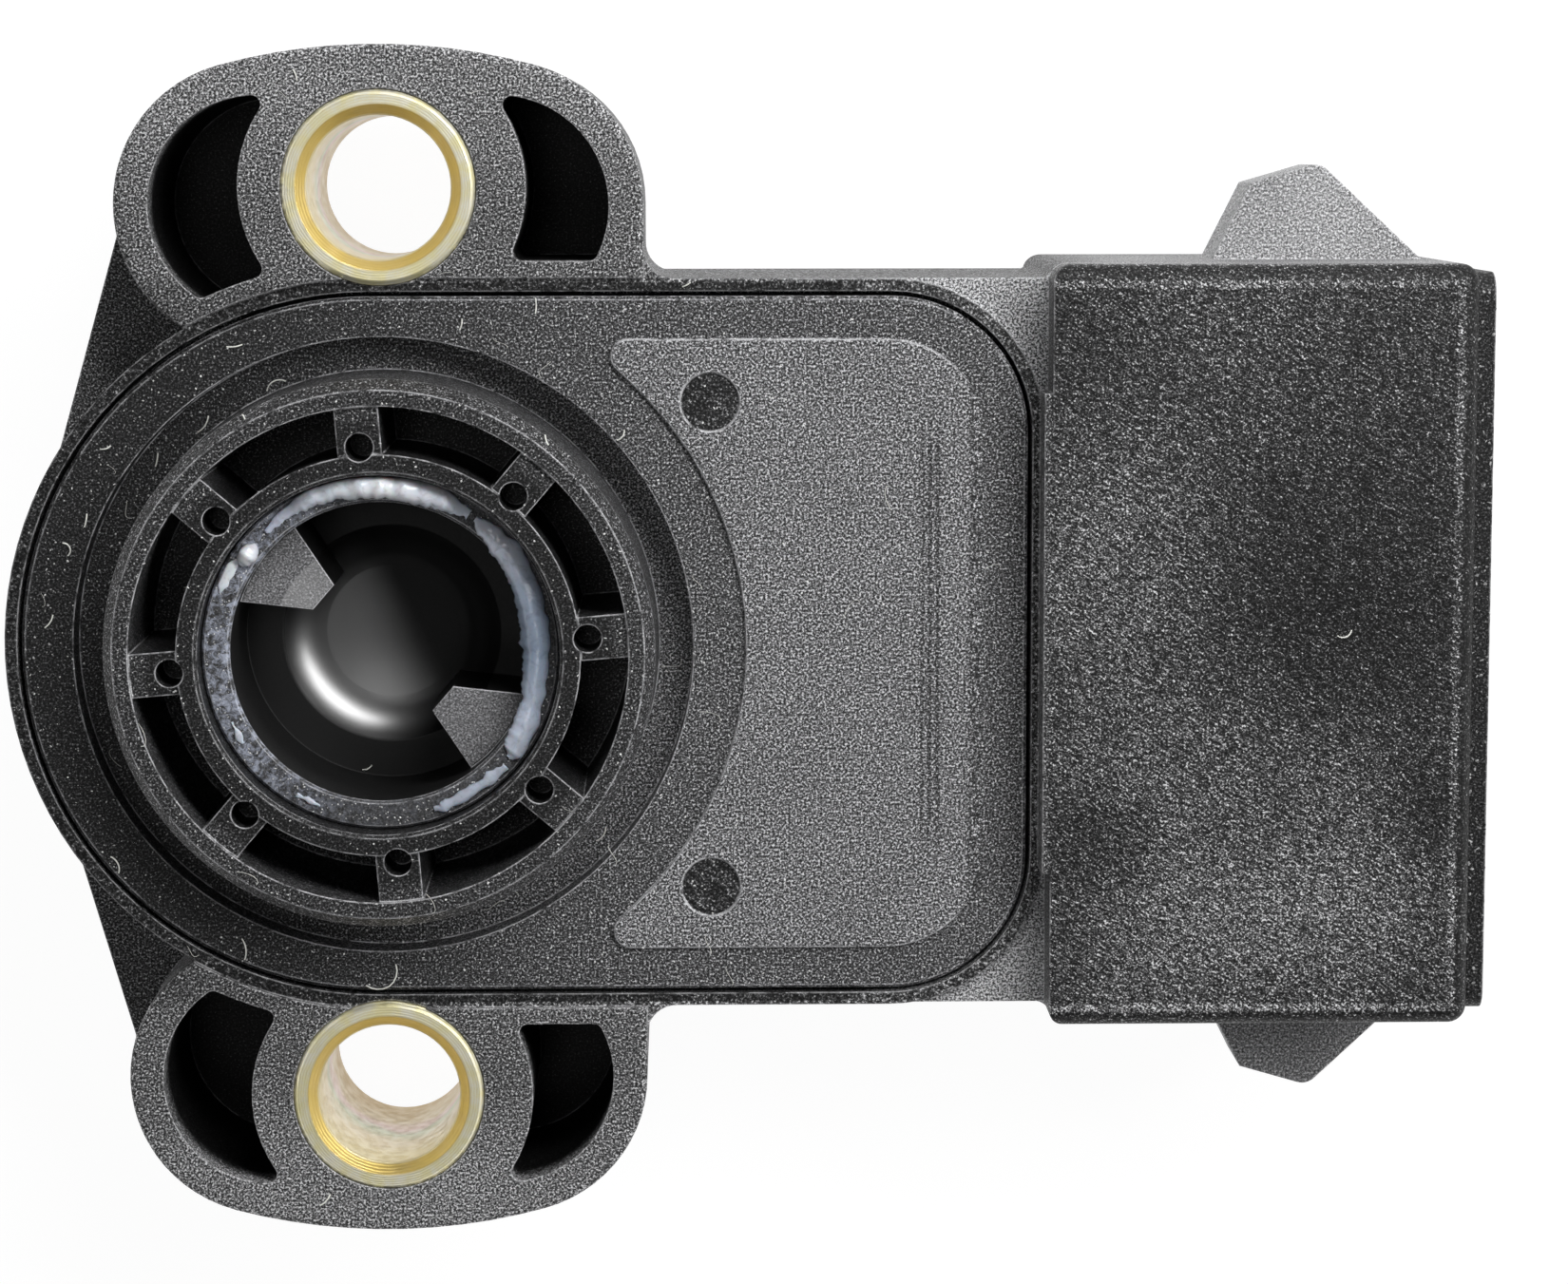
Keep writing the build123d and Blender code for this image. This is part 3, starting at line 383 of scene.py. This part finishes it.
# bushings: turned face with an amber inner edge, whose band ends in its softness, and a bore tinted by depth
bushingLook = {
    "face": (0.98, 0.92, 0.55), "pale": (1.0, 0.98, 0.82), "amber": (0.74, 0.53, 0.12),
    "turned": 0.25, "turnedSpan": (-0.2, 1.0), "innerShade": 0.85,
    "bands": ((0.0, (0.62, 0.46, 0.24)), (0.22, (0.78, 0.66, 0.45)), (0.4, (0.86, 0.68, 0.62)),
              (0.55, (0.72, 0.76, 0.58)), (0.72, (0.88, 0.78, 0.58)), (1.0, (0.9, 0.8, 0.5))),
    "rough": (0.3, 0.5), "roughNoise": (2.0, 3.0), "metal": 0.72, "edge": 0.08,
    "lineWidth": 0.11, "lineBump": (0.25, 0.012), "wander": (0.8, 0.12),
    "centre": 20.0, "innerBand": (3.17, 3.6, 0.06), "boreWall": (3.2, 3.15), "depth": (-11.5, 0.0),
    "mottle": (0.9, 4.0, 0.6), "mottleSpan": (0.35, 0.65), "drift": (0.35, 3.0), "driftReach": 0.5,
}


def bushingFinish():
    look = bushingLook
    material, tree, shader, spot, x, y, z = startFinish("platedBushing")
    mirrored = put(tree, "ShaderNodeCombineXYZ", {0: x, 1: calc(tree, "ABSOLUTE", y), 2: z}).outputs[0]
    radius = distanceTo(tree, mirrored, 0.0, look["centre"])
    wanderPerMm, wanderReach = look["wander"]
    wander = swung(tree, cloud(tree, spot, wanderPerMm), wanderReach)
    rings = calc(tree, "SINE", times(tree, plus(tree, radius, wander), 2 * math.pi / look["lineWidth"]))
    mottle = fit(tree, cloud(tree, spot, *look["mottle"]), *look["mottleSpan"])
    face = tintMix(tree, mottle, look["face"], look["pale"])
    face = tintMix(tree, fit(tree, rings, *look["turnedSpan"], 0.0, look["turned"]), face, look["amber"])
    inner = between(tree, radius, *look["innerBand"])
    face = tintMix(tree, times(tree, inner, look["innerShade"]), face, look["amber"])
    drift = swung(tree, cloud(tree, spot, *look["drift"]), look["driftReach"])
    depth = plus(tree, fit(tree, z, *look["depth"]), drift)
    inBore = fit(tree, radius, *look["boreWall"])
    colour = tintMix(tree, inBore, face, ramp(tree, depth, look["bands"]))
    rough = fit(tree, cloud(tree, spot, *look["roughNoise"]), *noiseSpan, *look["rough"])
    normal = relief(tree, rings, *look["lineBump"], rounded(tree, look["edge"]))
    setShader(tree, shader, Base_Color=colour, Metallic=look["metal"], Roughness=rough, Normal=normal)
    return material


# finishes of the pieces inside: colour, second colour, metal, roughness range, grain per mm, stretch, bump
innerLooks = {
    "sealRubber": ((0.03, 0.03, 0.032), (0.05, 0.05, 0.052), 0.0, (0.7, 0.85), 6.0, (1, 1, 1), 0.3),
    "springWire": ((0.42, 0.42, 0.4), (0.66, 0.65, 0.62), 1.0, (0.22, 0.4), 3.0, (1, 1, 6), 0.12),
    "boardCeramic": ((0.72, 0.71, 0.67), (0.84, 0.83, 0.79), 0.0, (0.5, 0.65), 9.0, (1, 1, 1), 0.15),
    "resistorInk": ((0.018, 0.018, 0.02), (0.045, 0.045, 0.05), 0.0, (0.55, 0.75), 12.0, (1, 1, 1), 0.2),
    "silverInk": ((0.5, 0.49, 0.46), (0.72, 0.71, 0.68), 1.0, (0.4, 0.6), 10.0, (1, 1, 1), 0.2),
    "contactAlloy": ((0.62, 0.43, 0.2), (0.84, 0.64, 0.36), 1.0, (0.2, 0.36), 2.0, (1, 7, 7), 0.1),
    "tinnedBrass": ((0.56, 0.54, 0.48), (0.78, 0.76, 0.7), 1.0, (0.26, 0.44), 1.5, (0.6, 5, 5), 0.1),
}
innerBumpDepth = 0.01


def innerFinish(name):
    dark, light, metal, rough, perMm, stretch, bump = innerLooks[name]
    material, tree, shader, spot, x, y, z = startFinish(name)
    grain = cloud(tree, turned(tree, spot, 0.0, stretch), perMm, 3.0, 0.6)
    colour = tintMix(tree, fit(tree, grain, *noiseSpan), dark, light)
    setShader(tree, shader, Base_Color=colour, Metallic=metal, Roughness=fit(tree, grain, *noiseSpan, *rough),
              Normal=relief(tree, grain, bump, innerBumpDepth))
    return material


finishes = {
    "housing_plastic": housingFinish(), "cover_plastic": coverFinish(), "rotor_plastic": rotorFinish(),
    "plated_bushing": bushingFinish(), "seal_rubber": innerFinish("sealRubber"),
    "spring_wire": innerFinish("springWire"), "board_ceramic": innerFinish("boardCeramic"),
    "resistor_ink": innerFinish("resistorInk"), "silver_ink": innerFinish("silverInk"),
    "contact_alloy": innerFinish("contactAlloy"), "tinned_brass": innerFinish("tinnedBrass"),
}
for part in frame["record"]["subparts"]:
    for slot in nodes[part["node"]].material_slots:
        slot.material = finishes[part["material_slot"]]
print("finishes on", len(finishes), "slots")


# surface finder: drops a point from above on to the solids
def topTree(*names):
    points, faces = [], []
    for name in names:
        mesh = nodes[name].data
        start = len(points)
        points += [v.co.copy() for v in mesh.vertices]
        faces += [[start + i for i in p.vertices] for p in mesh.polygons]
    return BVHTree.FromPolygons(points, faces)


outside = topTree("housing", "cover", "rotor", "upper_bushing", "lower_bushing")
dropHeight = 50.0


def dropOn(x, y):
    hit = outside.ray_cast(Vector((x * mm, y * mm, dropHeight * mm)), Vector((0, 0, -1)))[0]
    return hit.z / mm if hit else None


def upFaces(name, nodeName, keep):
    mesh = nodes[nodeName].data
    shell = bmesh.new()
    for polygon in mesh.polygons:
        if polygon.normal.z > 0.95 and keep(polygon.center / mm):
            shell.faces.new([shell.verts.new(mesh.vertices[i].co) for i in polygon.vertices])
    return asCarrier(name, shell)


def asCarrier(name, shell):
    made = bpy.data.meshes.new(name)
    shell.to_mesh(made)
    shell.free()
    carrier = bpy.data.objects.new(name, made)
    bpy.context.scene.collection.objects.link(carrier)
    return carrier


def newTree(name, inputs):
    tree = bpy.data.node_groups.new(name, "GeometryNodeTree")
    tree.interface.new_socket("Geometry", in_out="INPUT", socket_type="NodeSocketGeometry")
    for label, kind in inputs:
        tree.interface.new_socket(label, in_out="INPUT", socket_type="NodeSocket" + kind)
    tree.interface.new_socket("Geometry", in_out="OUTPUT", socket_type="NodeSocketGeometry")
    return tree, tree.nodes.new("NodeGroupInput").outputs, tree.nodes.new("NodeGroupOutput").inputs


def closeTree(tree, geometry, given, result):
    solid = put(tree, "GeometryNodeRealizeInstances", {"Geometry": geometry}).outputs[0]
    dressed = put(tree, "GeometryNodeSetMaterial", {"Geometry": solid, "Material": given["Material"]}).outputs[0]
    tree.links.new(dressed, result["Geometry"])


def grow(carrier, tree, values, name, body):
    modifier = carrier.modifiers.new(tree.name, "NODES")
    modifier.node_group = tree
    for item in tree.interface.items_tree:
        if item.in_out == "INPUT" and item.name in values:
            modifier[item.identifier] = values[item.name]
    graph = bpy.context.evaluated_depsgraph_get()
    mesh = bpy.data.meshes.new_from_object(carrier.evaluated_get(graph))
    carrier.modifiers.remove(modifier)
    bpy.data.objects.remove(carrier)
    for vertex in mesh.vertices:
        vertex.co.x = min(vertex.co.x, cadHigh.x)  # nothing past the connector's mouth
    piece = bpy.data.objects.new(name, mesh)
    bpy.context.scene.collection.objects.link(piece)
    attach(piece, body)
    print(name, len(mesh.polygons), "faces")
    return piece


# scatter: lint fibres, dust specks and mould flash, thinned out from one side to the other
leftOut = 0.85  # share dropped at the bare side


def randomFloat(tree, low, high, seed):
    return put(tree, "FunctionNodeRandomValue", {2: low, 3: high, 8: seed}, data_type="FLOAT").outputs[1]


def scatterTree(name, shapeMaker):
    inputs = [("Density", "Float"), ("Seed", "Int"), ("Smallest", "Float"), ("Largest", "Float"), ("Tilt", "Float"),
              ("Full At", "Float"), ("Bare At", "Float"), ("Material", "Material")]
    tree, given, result = newTree(name, inputs)
    seed = given["Seed"]
    wires = {"Mesh": given["Geometry"], "Density": given["Density"], "Seed": seed}
    points = put(tree, "GeometryNodeDistributePointsOnFaces", wires).outputs[0]
    place = put(tree, "ShaderNodeSeparateXYZ", {0: put(tree, "GeometryNodeInputPosition").outputs[0]}).outputs
    wires = {0: place[0], 1: given["Full At"], 2: given["Bare At"], 3: 0.0, 4: leftOut}
    dropShare = put(tree, "ShaderNodeMapRange", wires).outputs[0]
    wires = {0: randomFloat(tree, 0.0, 1.0, seed), 1: dropShare}
    thin = put(tree, "FunctionNodeCompare", wires, operation="LESS_THAN", data_type="FLOAT").outputs[0]
    points = put(tree, "GeometryNodeDeleteGeometry", {0: points, 1: thin}, domain="POINT").outputs[0]
    shapes = put(tree, "GeometryNodeGeometryToInstance")
    for shape in shapeMaker(tree):
        tree.links.new(shape, shapes.inputs[0])
    far = put(tree, "ShaderNodeCombineXYZ", {0: given["Tilt"], 1: given["Tilt"], 2: 2 * math.pi}).outputs[0]
    near = put(tree, "ShaderNodeCombineXYZ", {2: 0.0}).outputs[0]
    turn = put(tree, "FunctionNodeRandomValue", {0: near, 1: far, 8: seed}, data_type="FLOAT_VECTOR").outputs[0]
    size = randomFloat(tree, given["Smallest"], given["Largest"], seed)
    wires = {"Points": points, "Instance": shapes.outputs[0], "Pick Instance": True, "Rotation": turn, "Scale": size}
    closeTree(tree, put(tree, "GeometryNodeInstanceOnPoints", wires).outputs[0], given, result)
    return tree


def tubeAlong(tree, path, sides, radius):
    ring = put(tree, "GeometryNodeCurvePrimitiveCircle", {"Resolution": sides, "Radius": radius}).outputs[0]
    return put(tree, "GeometryNodeCurveToMesh", {"Curve": path, "Profile Curve": ring, "Fill Caps": True}).outputs[0]


# one fibre is 1 long: thickness, lift off the surface, and how far each end's handle bends
fibreShapes = {
    "thickness": 0.016, "lift": 0.02,
    "bends": (((0.45, 0.3), (-0.1, 0.35)), ((0.2, -0.25), (0.15, 0.3)), ((0.1, 0.55), (0.5, 0.15))),
}


def fibres(tree):
    made = []
    lift = fibreShapes["lift"]
    for (outX, outY), (backX, backY) in fibreShapes["bends"]:
        wires = {"Resolution": 6, "Start": (-0.5, 0, lift), "Start Handle": (-0.5 + outX, outY, lift * 2),
                 "End Handle": (0.5 - backX, backY, lift * 3), "End": (0.5, 0, lift)}
        path = put(tree, "GeometryNodeCurvePrimitiveBezierSegment", wires).outputs[0]
        made.append(tubeAlong(tree, path, 3, fibreShapes["thickness"]))
    return made


speckShapes = ((1.0, 0.8, 0.35), (1.5, 0.6, 0.3), (0.9, 1.2, 0.5))


def specks(tree):
    ball = put(tree, "GeometryNodeMeshIcoSphere", {"Radius": 1.0, "Subdivisions": 1}).outputs[0]
    return [put(tree, "GeometryNodeTransform", {"Geometry": ball, "Scale": squash}).outputs[0]
            for squash in speckShapes]


def dustFinish(name, dark, light):
    material, tree, shader, spot, x, y, z = startFinish(name)
    colour = tintMix(tree, fit(tree, cloud(tree, spot, 1.3, 2.0), 0.35, 0.65), dark, light)
    setShader(tree, shader, Base_Color=colour, Roughness=0.85)
    return material


# dust: dark and light tints, then density, seed, smallest, largest, tilt, x where full and x where bare
dust = {
    "fibre": ((0.75, 0.75, 0.71), (0.98, 0.98, 0.92)),
    "speck": ((0.4, 0.4, 0.4), (0.95, 0.95, 0.94)),
    "flash": ((0.03, 0.03, 0.03), (0.5, 0.5, 0.5)),
    "lint": (0.055e6, 4, 0.35 * mm, 1.1 * mm, 0.05, -0.016, 0.03),
    "specks": (4.0e6, 9, 0.014 * mm, 0.06 * mm, 0.5, -0.016, 0.02),
    "rimSpecks": (1.5e7, 13, 0.014 * mm, 0.05 * mm, 0.5, -0.006, 0.012),
    "earLint": (0.03e6, 21, 0.3 * mm, 0.8 * mm, 0.1, -0.012, 0.014),
    "flashChips": (9e6, 5, 0.03 * mm, 0.11 * mm, 1.2, 0.02, 0.09),
}
lintTree = scatterTree("lintFibres", fibres)
speckTree = scatterTree("dustSpecks", specks)
fibreSkin = dustFinish("lintFibre", *dust["fibre"])
speckSkin = dustFinish("dustSpeck", *dust["speck"])
flashSkin = dustFinish("mouldFlash", *dust["flash"])


def onCover(centre):
    return centre.z > -2.5


def onEars(centre):
    return centre.z > -1.0 and centre.x < 28.0


def onLip(centre):
    return centre.x > 47.3 and centre.z > -1.0


def onRim(centre):
    return centre.z > 1.3


def sprinkle(piece, key, tree, skin, carrier, nodeName, keep, body):
    labels = ("Density", "Seed", "Smallest", "Largest", "Tilt", "Full At", "Bare At")
    values = {**dict(zip(labels, dust[key])), "Material": skin}
    grow(upFaces(carrier, nodeName, keep), tree, values, piece, body)


sprinkle("coverLint", "lint", lintTree, fibreSkin, "coverTop", "cover", onCover, "housing")
sprinkle("coverDust", "specks", speckTree, speckSkin, "coverTop", "cover", onCover, "housing")
sprinkle("rimDust", "rimSpecks", speckTree, speckSkin, "rimTop", "rotor", onRim, "rotor")
sprinkle("earLint", "earLint", lintTree, fibreSkin, "earTops", "housing", onEars, "housing")


# the fibres that stand out, laid where they lie: x, y, length, heading, curl in degrees
laid = {
    "steps": 9, "thickness": 0.034, "lift": 0.02, "arch": 0.05, "stopsAt": 0.25,
    "strands": (
        (-11.5, 11.2, 1.0, 95, 40), (-4.6, 11.3, 1.1, 20, -110), (-7.95, 9.7, 0.9, 60, 60), (-8.0, 8.9, 1.5, 35, 80),
        (-6.3, 13.2, 0.7, 10, 30), (-13.9, 4.4, 0.8, 120, 150), (-12.9, 5.6, 0.6, 80, 20), (-14.6, 1.2, 0.7, 60, 50),
        (-5.8, 10.4, 0.6, 140, 30), (-9.1, 2.1, 0.5, 10, 40), (-2.9, 15.4, 0.9, 70, -40), (6.7, 15.0, 0.9, 95, 30),
        (-0.2, -14.3, 2.2, 45, 150), (-6.4, -13.4, 1.0, 100, 60), (41.9, 0.8, 0.8, 30, 120), (3.5, 14.1, 0.5, 80, 30),
        (7.3, 9.4, 0.7, 100, -40), (10.4, 9.3, 0.6, 60, 80), (13.3, 15.8, 0.4, 30, 20), (-11.97, 8.8, 0.5, 20, 60),
        (-10.0, 8.1, 0.6, 80, 20), (-3.5, 24.8, 0.5, 110, 30), (-2.9, -24.7, 0.7, 50, 40), (9.4, -8.6, 0.8, 60, 70),
        (-12.0, -9.6, 0.9, 120, 90), (-1.2, -6.1, 0.5, 30, 60),
    ),
}


def layLint():
    strands = bmesh.new()
    legs = laid["steps"] - 1
    for x, y, length, heading, curl in laid["strands"]:
        last = None
        angle = math.radians(heading - curl / 2)
        x -= math.cos(math.radians(heading)) * length / 2
        y -= math.sin(math.radians(heading)) * length / 2
        for step in range(laid["steps"]):
            ground = dropOn(x, y)
            # a strand ends where the ground falls away or rises
            if ground is None or last and abs(ground - level) > laid["stopsAt"]:
                break
            level = ground
            arch = laid["arch"] * math.sin(math.pi * step / legs)
            point = strands.verts.new((x * mm, y * mm, (ground + laid["lift"] + arch) * mm))
            if last:
                strands.edges.new((last, point))
            last = point
            x += math.cos(angle) * length / legs
            y += math.sin(angle) * length / legs
            angle += math.radians(curl) / legs
    carrier = asCarrier("laidPaths", strands)
    tree, given, result = newTree("laidLint", [("Thickness", "Float"), ("Material", "Material")])
    paths = put(tree, "GeometryNodeMeshToCurve", {"Mesh": given["Geometry"]}).outputs[0]
    closeTree(tree, tubeAlong(tree, paths, 5, given["Thickness"]), given, result)
    values = {"Thickness": laid["thickness"] * mm, "Material": fibreSkin}
    grow(carrier, tree, values, "laidLint", "housing")


layLint()
sprinkle("lipFlash", "flashChips", speckTree, flashSkin, "lipTop", "housing", onLip, "housing")


# grease on the rotor's rim: runs of angle, inner radius, outer radius and height, and the tint round the rim, which
# also carries painted light and shade
greaseLook = {
    "runs": (
        ((133, 7.05, 7.3, 0.12), (125, 7.0, 7.5, 0.16), (112, 6.9, 7.72, 0.75), (100, 6.75, 7.78, 1.1),
         (90, 6.68, 7.78, 1.15), (80, 6.65, 7.75, 1.05), (68, 6.68, 7.7, 0.75), (60, 6.8, 7.45, 0.16),
         (57, 6.95, 7.3, 0.1)),
        ((54.5, 6.95, 7.3, 0.12), (49, 6.62, 7.55, 0.3), (38, 6.45, 7.6, 0.36), (24, 6.25, 7.5, 0.36),
         (11, 6.1, 7.4, 0.36), (0, 6.08, 7.32, 0.36), (-8, 6.2, 7.3, 0.36), (-20, 6.35, 7.4, 0.38),
         (-30, 6.45, 7.55, 0.38), (-37, 6.7, 7.6, 0.3), (-40, 7.05, 7.45, 0.15)),
        ((-43, 7.2, 7.5, 0.12), (-50, 7.0, 7.5, 0.22), (-60, 6.95, 7.45, 0.25), (-68, 7.0, 7.5, 0.22),
         (-72, 7.15, 7.4, 0.1)),
        ((147.6, 7.0, 7.2, 0.1), (145.4, 6.7, 7.45, 0.45), (143, 6.62, 7.5, 0.6), (140.6, 6.7, 7.45, 0.45),
         (138.4, 7.0, 7.2, 0.1)),
        ((159.5, 7.35, 7.5, 0.05), (157, 7.2, 7.65, 0.1), (150, 7.15, 7.55, 0.1), (146.5, 7.25, 7.45, 0.05)),
        ((213.5, 7.15, 7.25, 0.05), (210, 7.05, 7.3, 0.12), (205, 7.1, 7.25, 0.06)),
        ((248, 7.2, 7.3, 0.05), (244, 7.1, 7.35, 0.12), (239, 7.15, 7.3, 0.05)),
    ),
    "tints": ((-180, (0.7, 0.73, 0.8)), (-60, (0.45, 0.5, 0.6)), (-36, (0.62, 0.67, 0.78)), (-22, (0.52, 0.59, 0.72)),
              (0, (0.3, 0.37, 0.48)), (22, (0.38, 0.45, 0.57)), (46, (0.7, 0.74, 0.84)), (60, (0.75, 0.8, 0.92)),
              (88, (0.92, 0.95, 1.0)), (108, (0.85, 0.91, 1.0)), (132, (0.6, 0.65, 0.8)), (144, (0.95, 0.97, 1.0)),
              (180, (0.7, 0.74, 0.84))),
    "limit": 7.72, "bore": 6.53, "middle": 7, "steps": 16, "spacing": 0.08, "ragged": 0.15, "streak": 2.0,
    "pushed": 0.35, "belly": 0.12, "sag": 0.9, "uneven": 0.3, "streakNoise": (2.4, 3.0, 0.6, 0.8),
    "rough": 0.18, "scatter": (0.15, 0.6), "coat": (0.4, 0.08), "bump": (0.3, 0.06),
}


def greaseFinish():
    look = greaseLook
    material, tree, shader, spot, x, y, z = startFinish("greaseSmear")
    bearing = calc(tree, "ARCTAN2", y, x)
    share = put(tree, "ShaderNodeMapRange", {0: bearing, 1: -math.pi, 2: math.pi}).outputs[0]
    # the tint is partly the grease's own colour and partly painted light: lighter where light catches it, darker
    # where the hub's wall shades it
    colour = ramp(tree, share, [((angle + 180) / 360, tint) for angle, tint in look["tints"]])
    streak = cloud(tree, spot, *look["streakNoise"])
    lift = doubled(tree, swung(tree, streak, look["streak"]))
    colour = scaled(tree, colour, calc(tree, "MINIMUM", lift, 1.0))
    scatter, scatterDepth = look["scatter"]
    coat, coatRough = look["coat"]
    setShader(tree, shader, Base_Color=colour, Roughness=look["rough"], Subsurface_Weight=scatter,
              Subsurface_Scale=scatterDepth * mm, Coat_Weight=coat, Coat_Roughness=coatRough,
              Normal=relief(tree, streak, *look["bump"]))
    return material


def alongRun(run, share):
    place = share * (len(run) - 1)
    first = min(int(place), len(run) - 2)
    straight = place - first
    ease = straight * straight * (3 - 2 * straight)
    return [a + (b - a) * t for a, b, t in zip(run[first], run[first + 1], (straight, ease, ease, ease))]


def greaseRing(blob, rimTop, heading, inner, outer, tall, number):
    look = greaseLook
    angle = math.radians(heading)
    # fixed noise roughens both edges and the height, each at its own grain
    seed = Vector((math.cos(angle) * look["middle"], math.sin(angle) * look["middle"], number * 5.0))
    inner += look["ragged"] * (noise.noise(seed * 2.3) + 0.6 * noise.noise(seed * 6.1))
    outer = min(look["limit"], outer + look["ragged"] * noise.noise(seed * 1.9 + Vector((9, 0, 0))))
    tall *= 1 + look["uneven"] * noise.noise(seed * 1.5 + Vector((0, 7, 0)))
    ring = []
    for k in range(look["steps"]):
        swing = 2 * math.pi * k / look["steps"]
        reach = (inner + outer) / 2 + (outer - inner) / 2 * math.cos(swing)
        up = math.sin(swing)
        if up > 0 and reach > (inner + outer) / 2:
            up = up ** look["pushed"]  # pushed up against the hub
        rise = tall * up if up > 0 else look["belly"] * up
        rise -= look["sag"] * max(0.0, look["bore"] - reach)  # sags where it hangs over the bore
        spot = (reach * math.cos(angle) * mm, reach * math.sin(angle) * mm, (rimTop + rise) * mm)
        ring.append(blob.verts.new(spot))
    return ring


def layGrease():
    look = greaseLook
    steps = look["steps"]
    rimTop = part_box("rotor")[1].z / mm
    blob = bmesh.new()
    for number, run in enumerate(look["runs"]):
        span = math.radians(abs(run[-1][0] - run[0][0])) * look["middle"]
        count = max(8, int(span / look["spacing"]))
        rings = [greaseRing(blob, rimTop, *alongRun(run, i / count), number) for i in range(count + 1)]
        for back, front in zip(rings, rings[1:]):
            for k in range(steps):
                after = (k + 1) % steps
                blob.faces.new((back[k], back[after], front[after], front[k]))
        blob.faces.new(rings[0])
        blob.faces.new(list(reversed(rings[-1])))
    bmesh.ops.recalc_face_normals(blob, faces=blob.faces)
    piece = asCarrier("rimGrease", blob)
    piece.data.shade_smooth()
    piece.data.materials.append(greaseFinish())
    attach(piece, "rotor")
    print("grease", len(piece.data.polygons), "faces")


layGrease()

# camera above the upper right of the rotor, as in the photograph: millimetres, lens in mm on a 36 mm sensor
shot = {"eye": (13.2, 22.1, 180.0), "aim": (17.517, 0.19, 0.0), "lens": 95.05, "sensor": 36.0, "roll": 0.0007}


def setCamera():
    eye, aim = Vector(shot["eye"]), Vector(shot["aim"])
    back = (eye - aim).normalized()
    right = Vector((math.sin(shot["roll"]), math.cos(shot["roll"]), 0.0)).cross(back).normalized()
    lens = bpy.data.cameras.new("shot")
    lens.lens = shot["lens"]
    lens.sensor_width = shot["sensor"]
    lens.sensor_fit = "HORIZONTAL"
    lens.clip_start, lens.clip_end = 0.01, 10.0
    camera = bpy.data.objects.new("shot", lens)
    turn = Matrix((right, back.cross(right), back)).transposed().to_4x4()
    camera.matrix_world = Matrix.Translation(eye * mm) @ turn
    bpy.context.scene.collection.objects.link(camera)
    bpy.context.scene.camera = camera


setCamera()

# light: key from the upper right, two small lamps overhead for the bushings, and a room that is brighter low down
# than overhead; each lamp as place, size and watts
studio = {
    "lamps": (((122.0, 121.0, 164.0), (268.0, 62.0), 0.55), ((-19.0, 30.0, 260.0), (55.0, 55.0), 0.03),
              ((-19.0, -75.0, 260.0), (45.0, 45.0), 0.02)),
    "lampAim": (10, 0, 0), "horizon": 2.2, "overhead": 0.03, "fade": 4.0,
    "floorSize": 0.9, "floorGap": 0.05, "floorGlow": 0.95, "floorGrey": 0.8, "floorFaint": 0.12,
}
white = (1.0, 1.0, 1.0, 1.0)


def addLamp(name, place, size, watts):
    data = bpy.data.lights.new(name, "AREA")
    data.shape = "RECTANGLE"
    data.size, data.size_y = size[0] * mm, size[1] * mm
    data.energy = watts
    lamp = bpy.data.objects.new(name, data)
    spot = Vector(place)
    turn = (Vector(studio["lampAim"]) - spot).to_track_quat("-Z", "Y").to_matrix().to_4x4()
    lamp.matrix_world = Matrix.Translation(spot * mm) @ turn
    bpy.context.scene.collection.objects.link(lamp)


def setRoom():
    world = bpy.data.worlds.new("studio")
    world.use_nodes = True
    room = world.node_tree
    height = put(room, "ShaderNodeSeparateXYZ", {0: put(room, "ShaderNodeTexCoord").outputs["Generated"]}).outputs[2]
    fade = calc(room, "POWER", less(room, 1.0, calc(room, "MAXIMUM", height, 0.0)), studio["fade"])
    glow = lerp(room, fade, studio["overhead"], studio["horizon"])
    setShader(room, room.nodes["Background"], Color=white, Strength=glow)
    bpy.context.scene.world = world


# the floor looks white, and still takes the object's shadow
def layFloor():
    half = studio["floorSize"] / 2
    low = cadLow.z - studio["floorGap"] * mm
    mesh = bpy.data.meshes.new("floor")
    corners = [(-half, -half, low), (half, -half, low), (half, half, low), (-half, half, low)]
    mesh.from_pydata(corners, [], [(0, 1, 2, 3)])
    floor = bpy.data.objects.new("floor", mesh)
    bpy.context.scene.collection.objects.link(floor)
    material = bpy.data.materials.new("floor")
    material.use_nodes = True
    tree = material.node_tree
    tree.nodes.clear()
    path = put(tree, "ShaderNodeLightPath").outputs
    rays = [path["Is Camera Ray"], path["Is Glossy Ray"], path["Is Transmission Ray"]]
    matt, faint = [put(tree, "ShaderNodeBsdfDiffuse", {"Color": (studio[key],) * 3 + (1.0,)}).outputs[0]
                   for key in ("floorGrey", "floorFaint")]
    glow = put(tree, "ShaderNodeEmission", {"Color": white, "Strength": studio["floorGlow"]}).outputs[0]
    shown = put(tree, "ShaderNodeAddShader", {0: glow, 1: faint}).outputs[0]
    mixed = put(tree, "ShaderNodeMixShader", {0: fold(tree, "MAXIMUM", rays), 1: matt, 2: shown}).outputs[0]
    put(tree, "ShaderNodeOutputMaterial", {"Surface": mixed})
    mesh.materials.append(material)


for number, lamp in enumerate(studio["lamps"]):
    addLamp("lamp%d" % number, *lamp)
setRoom()
layFloor()
bpy.context.scene.view_settings.view_transform = "Standard"
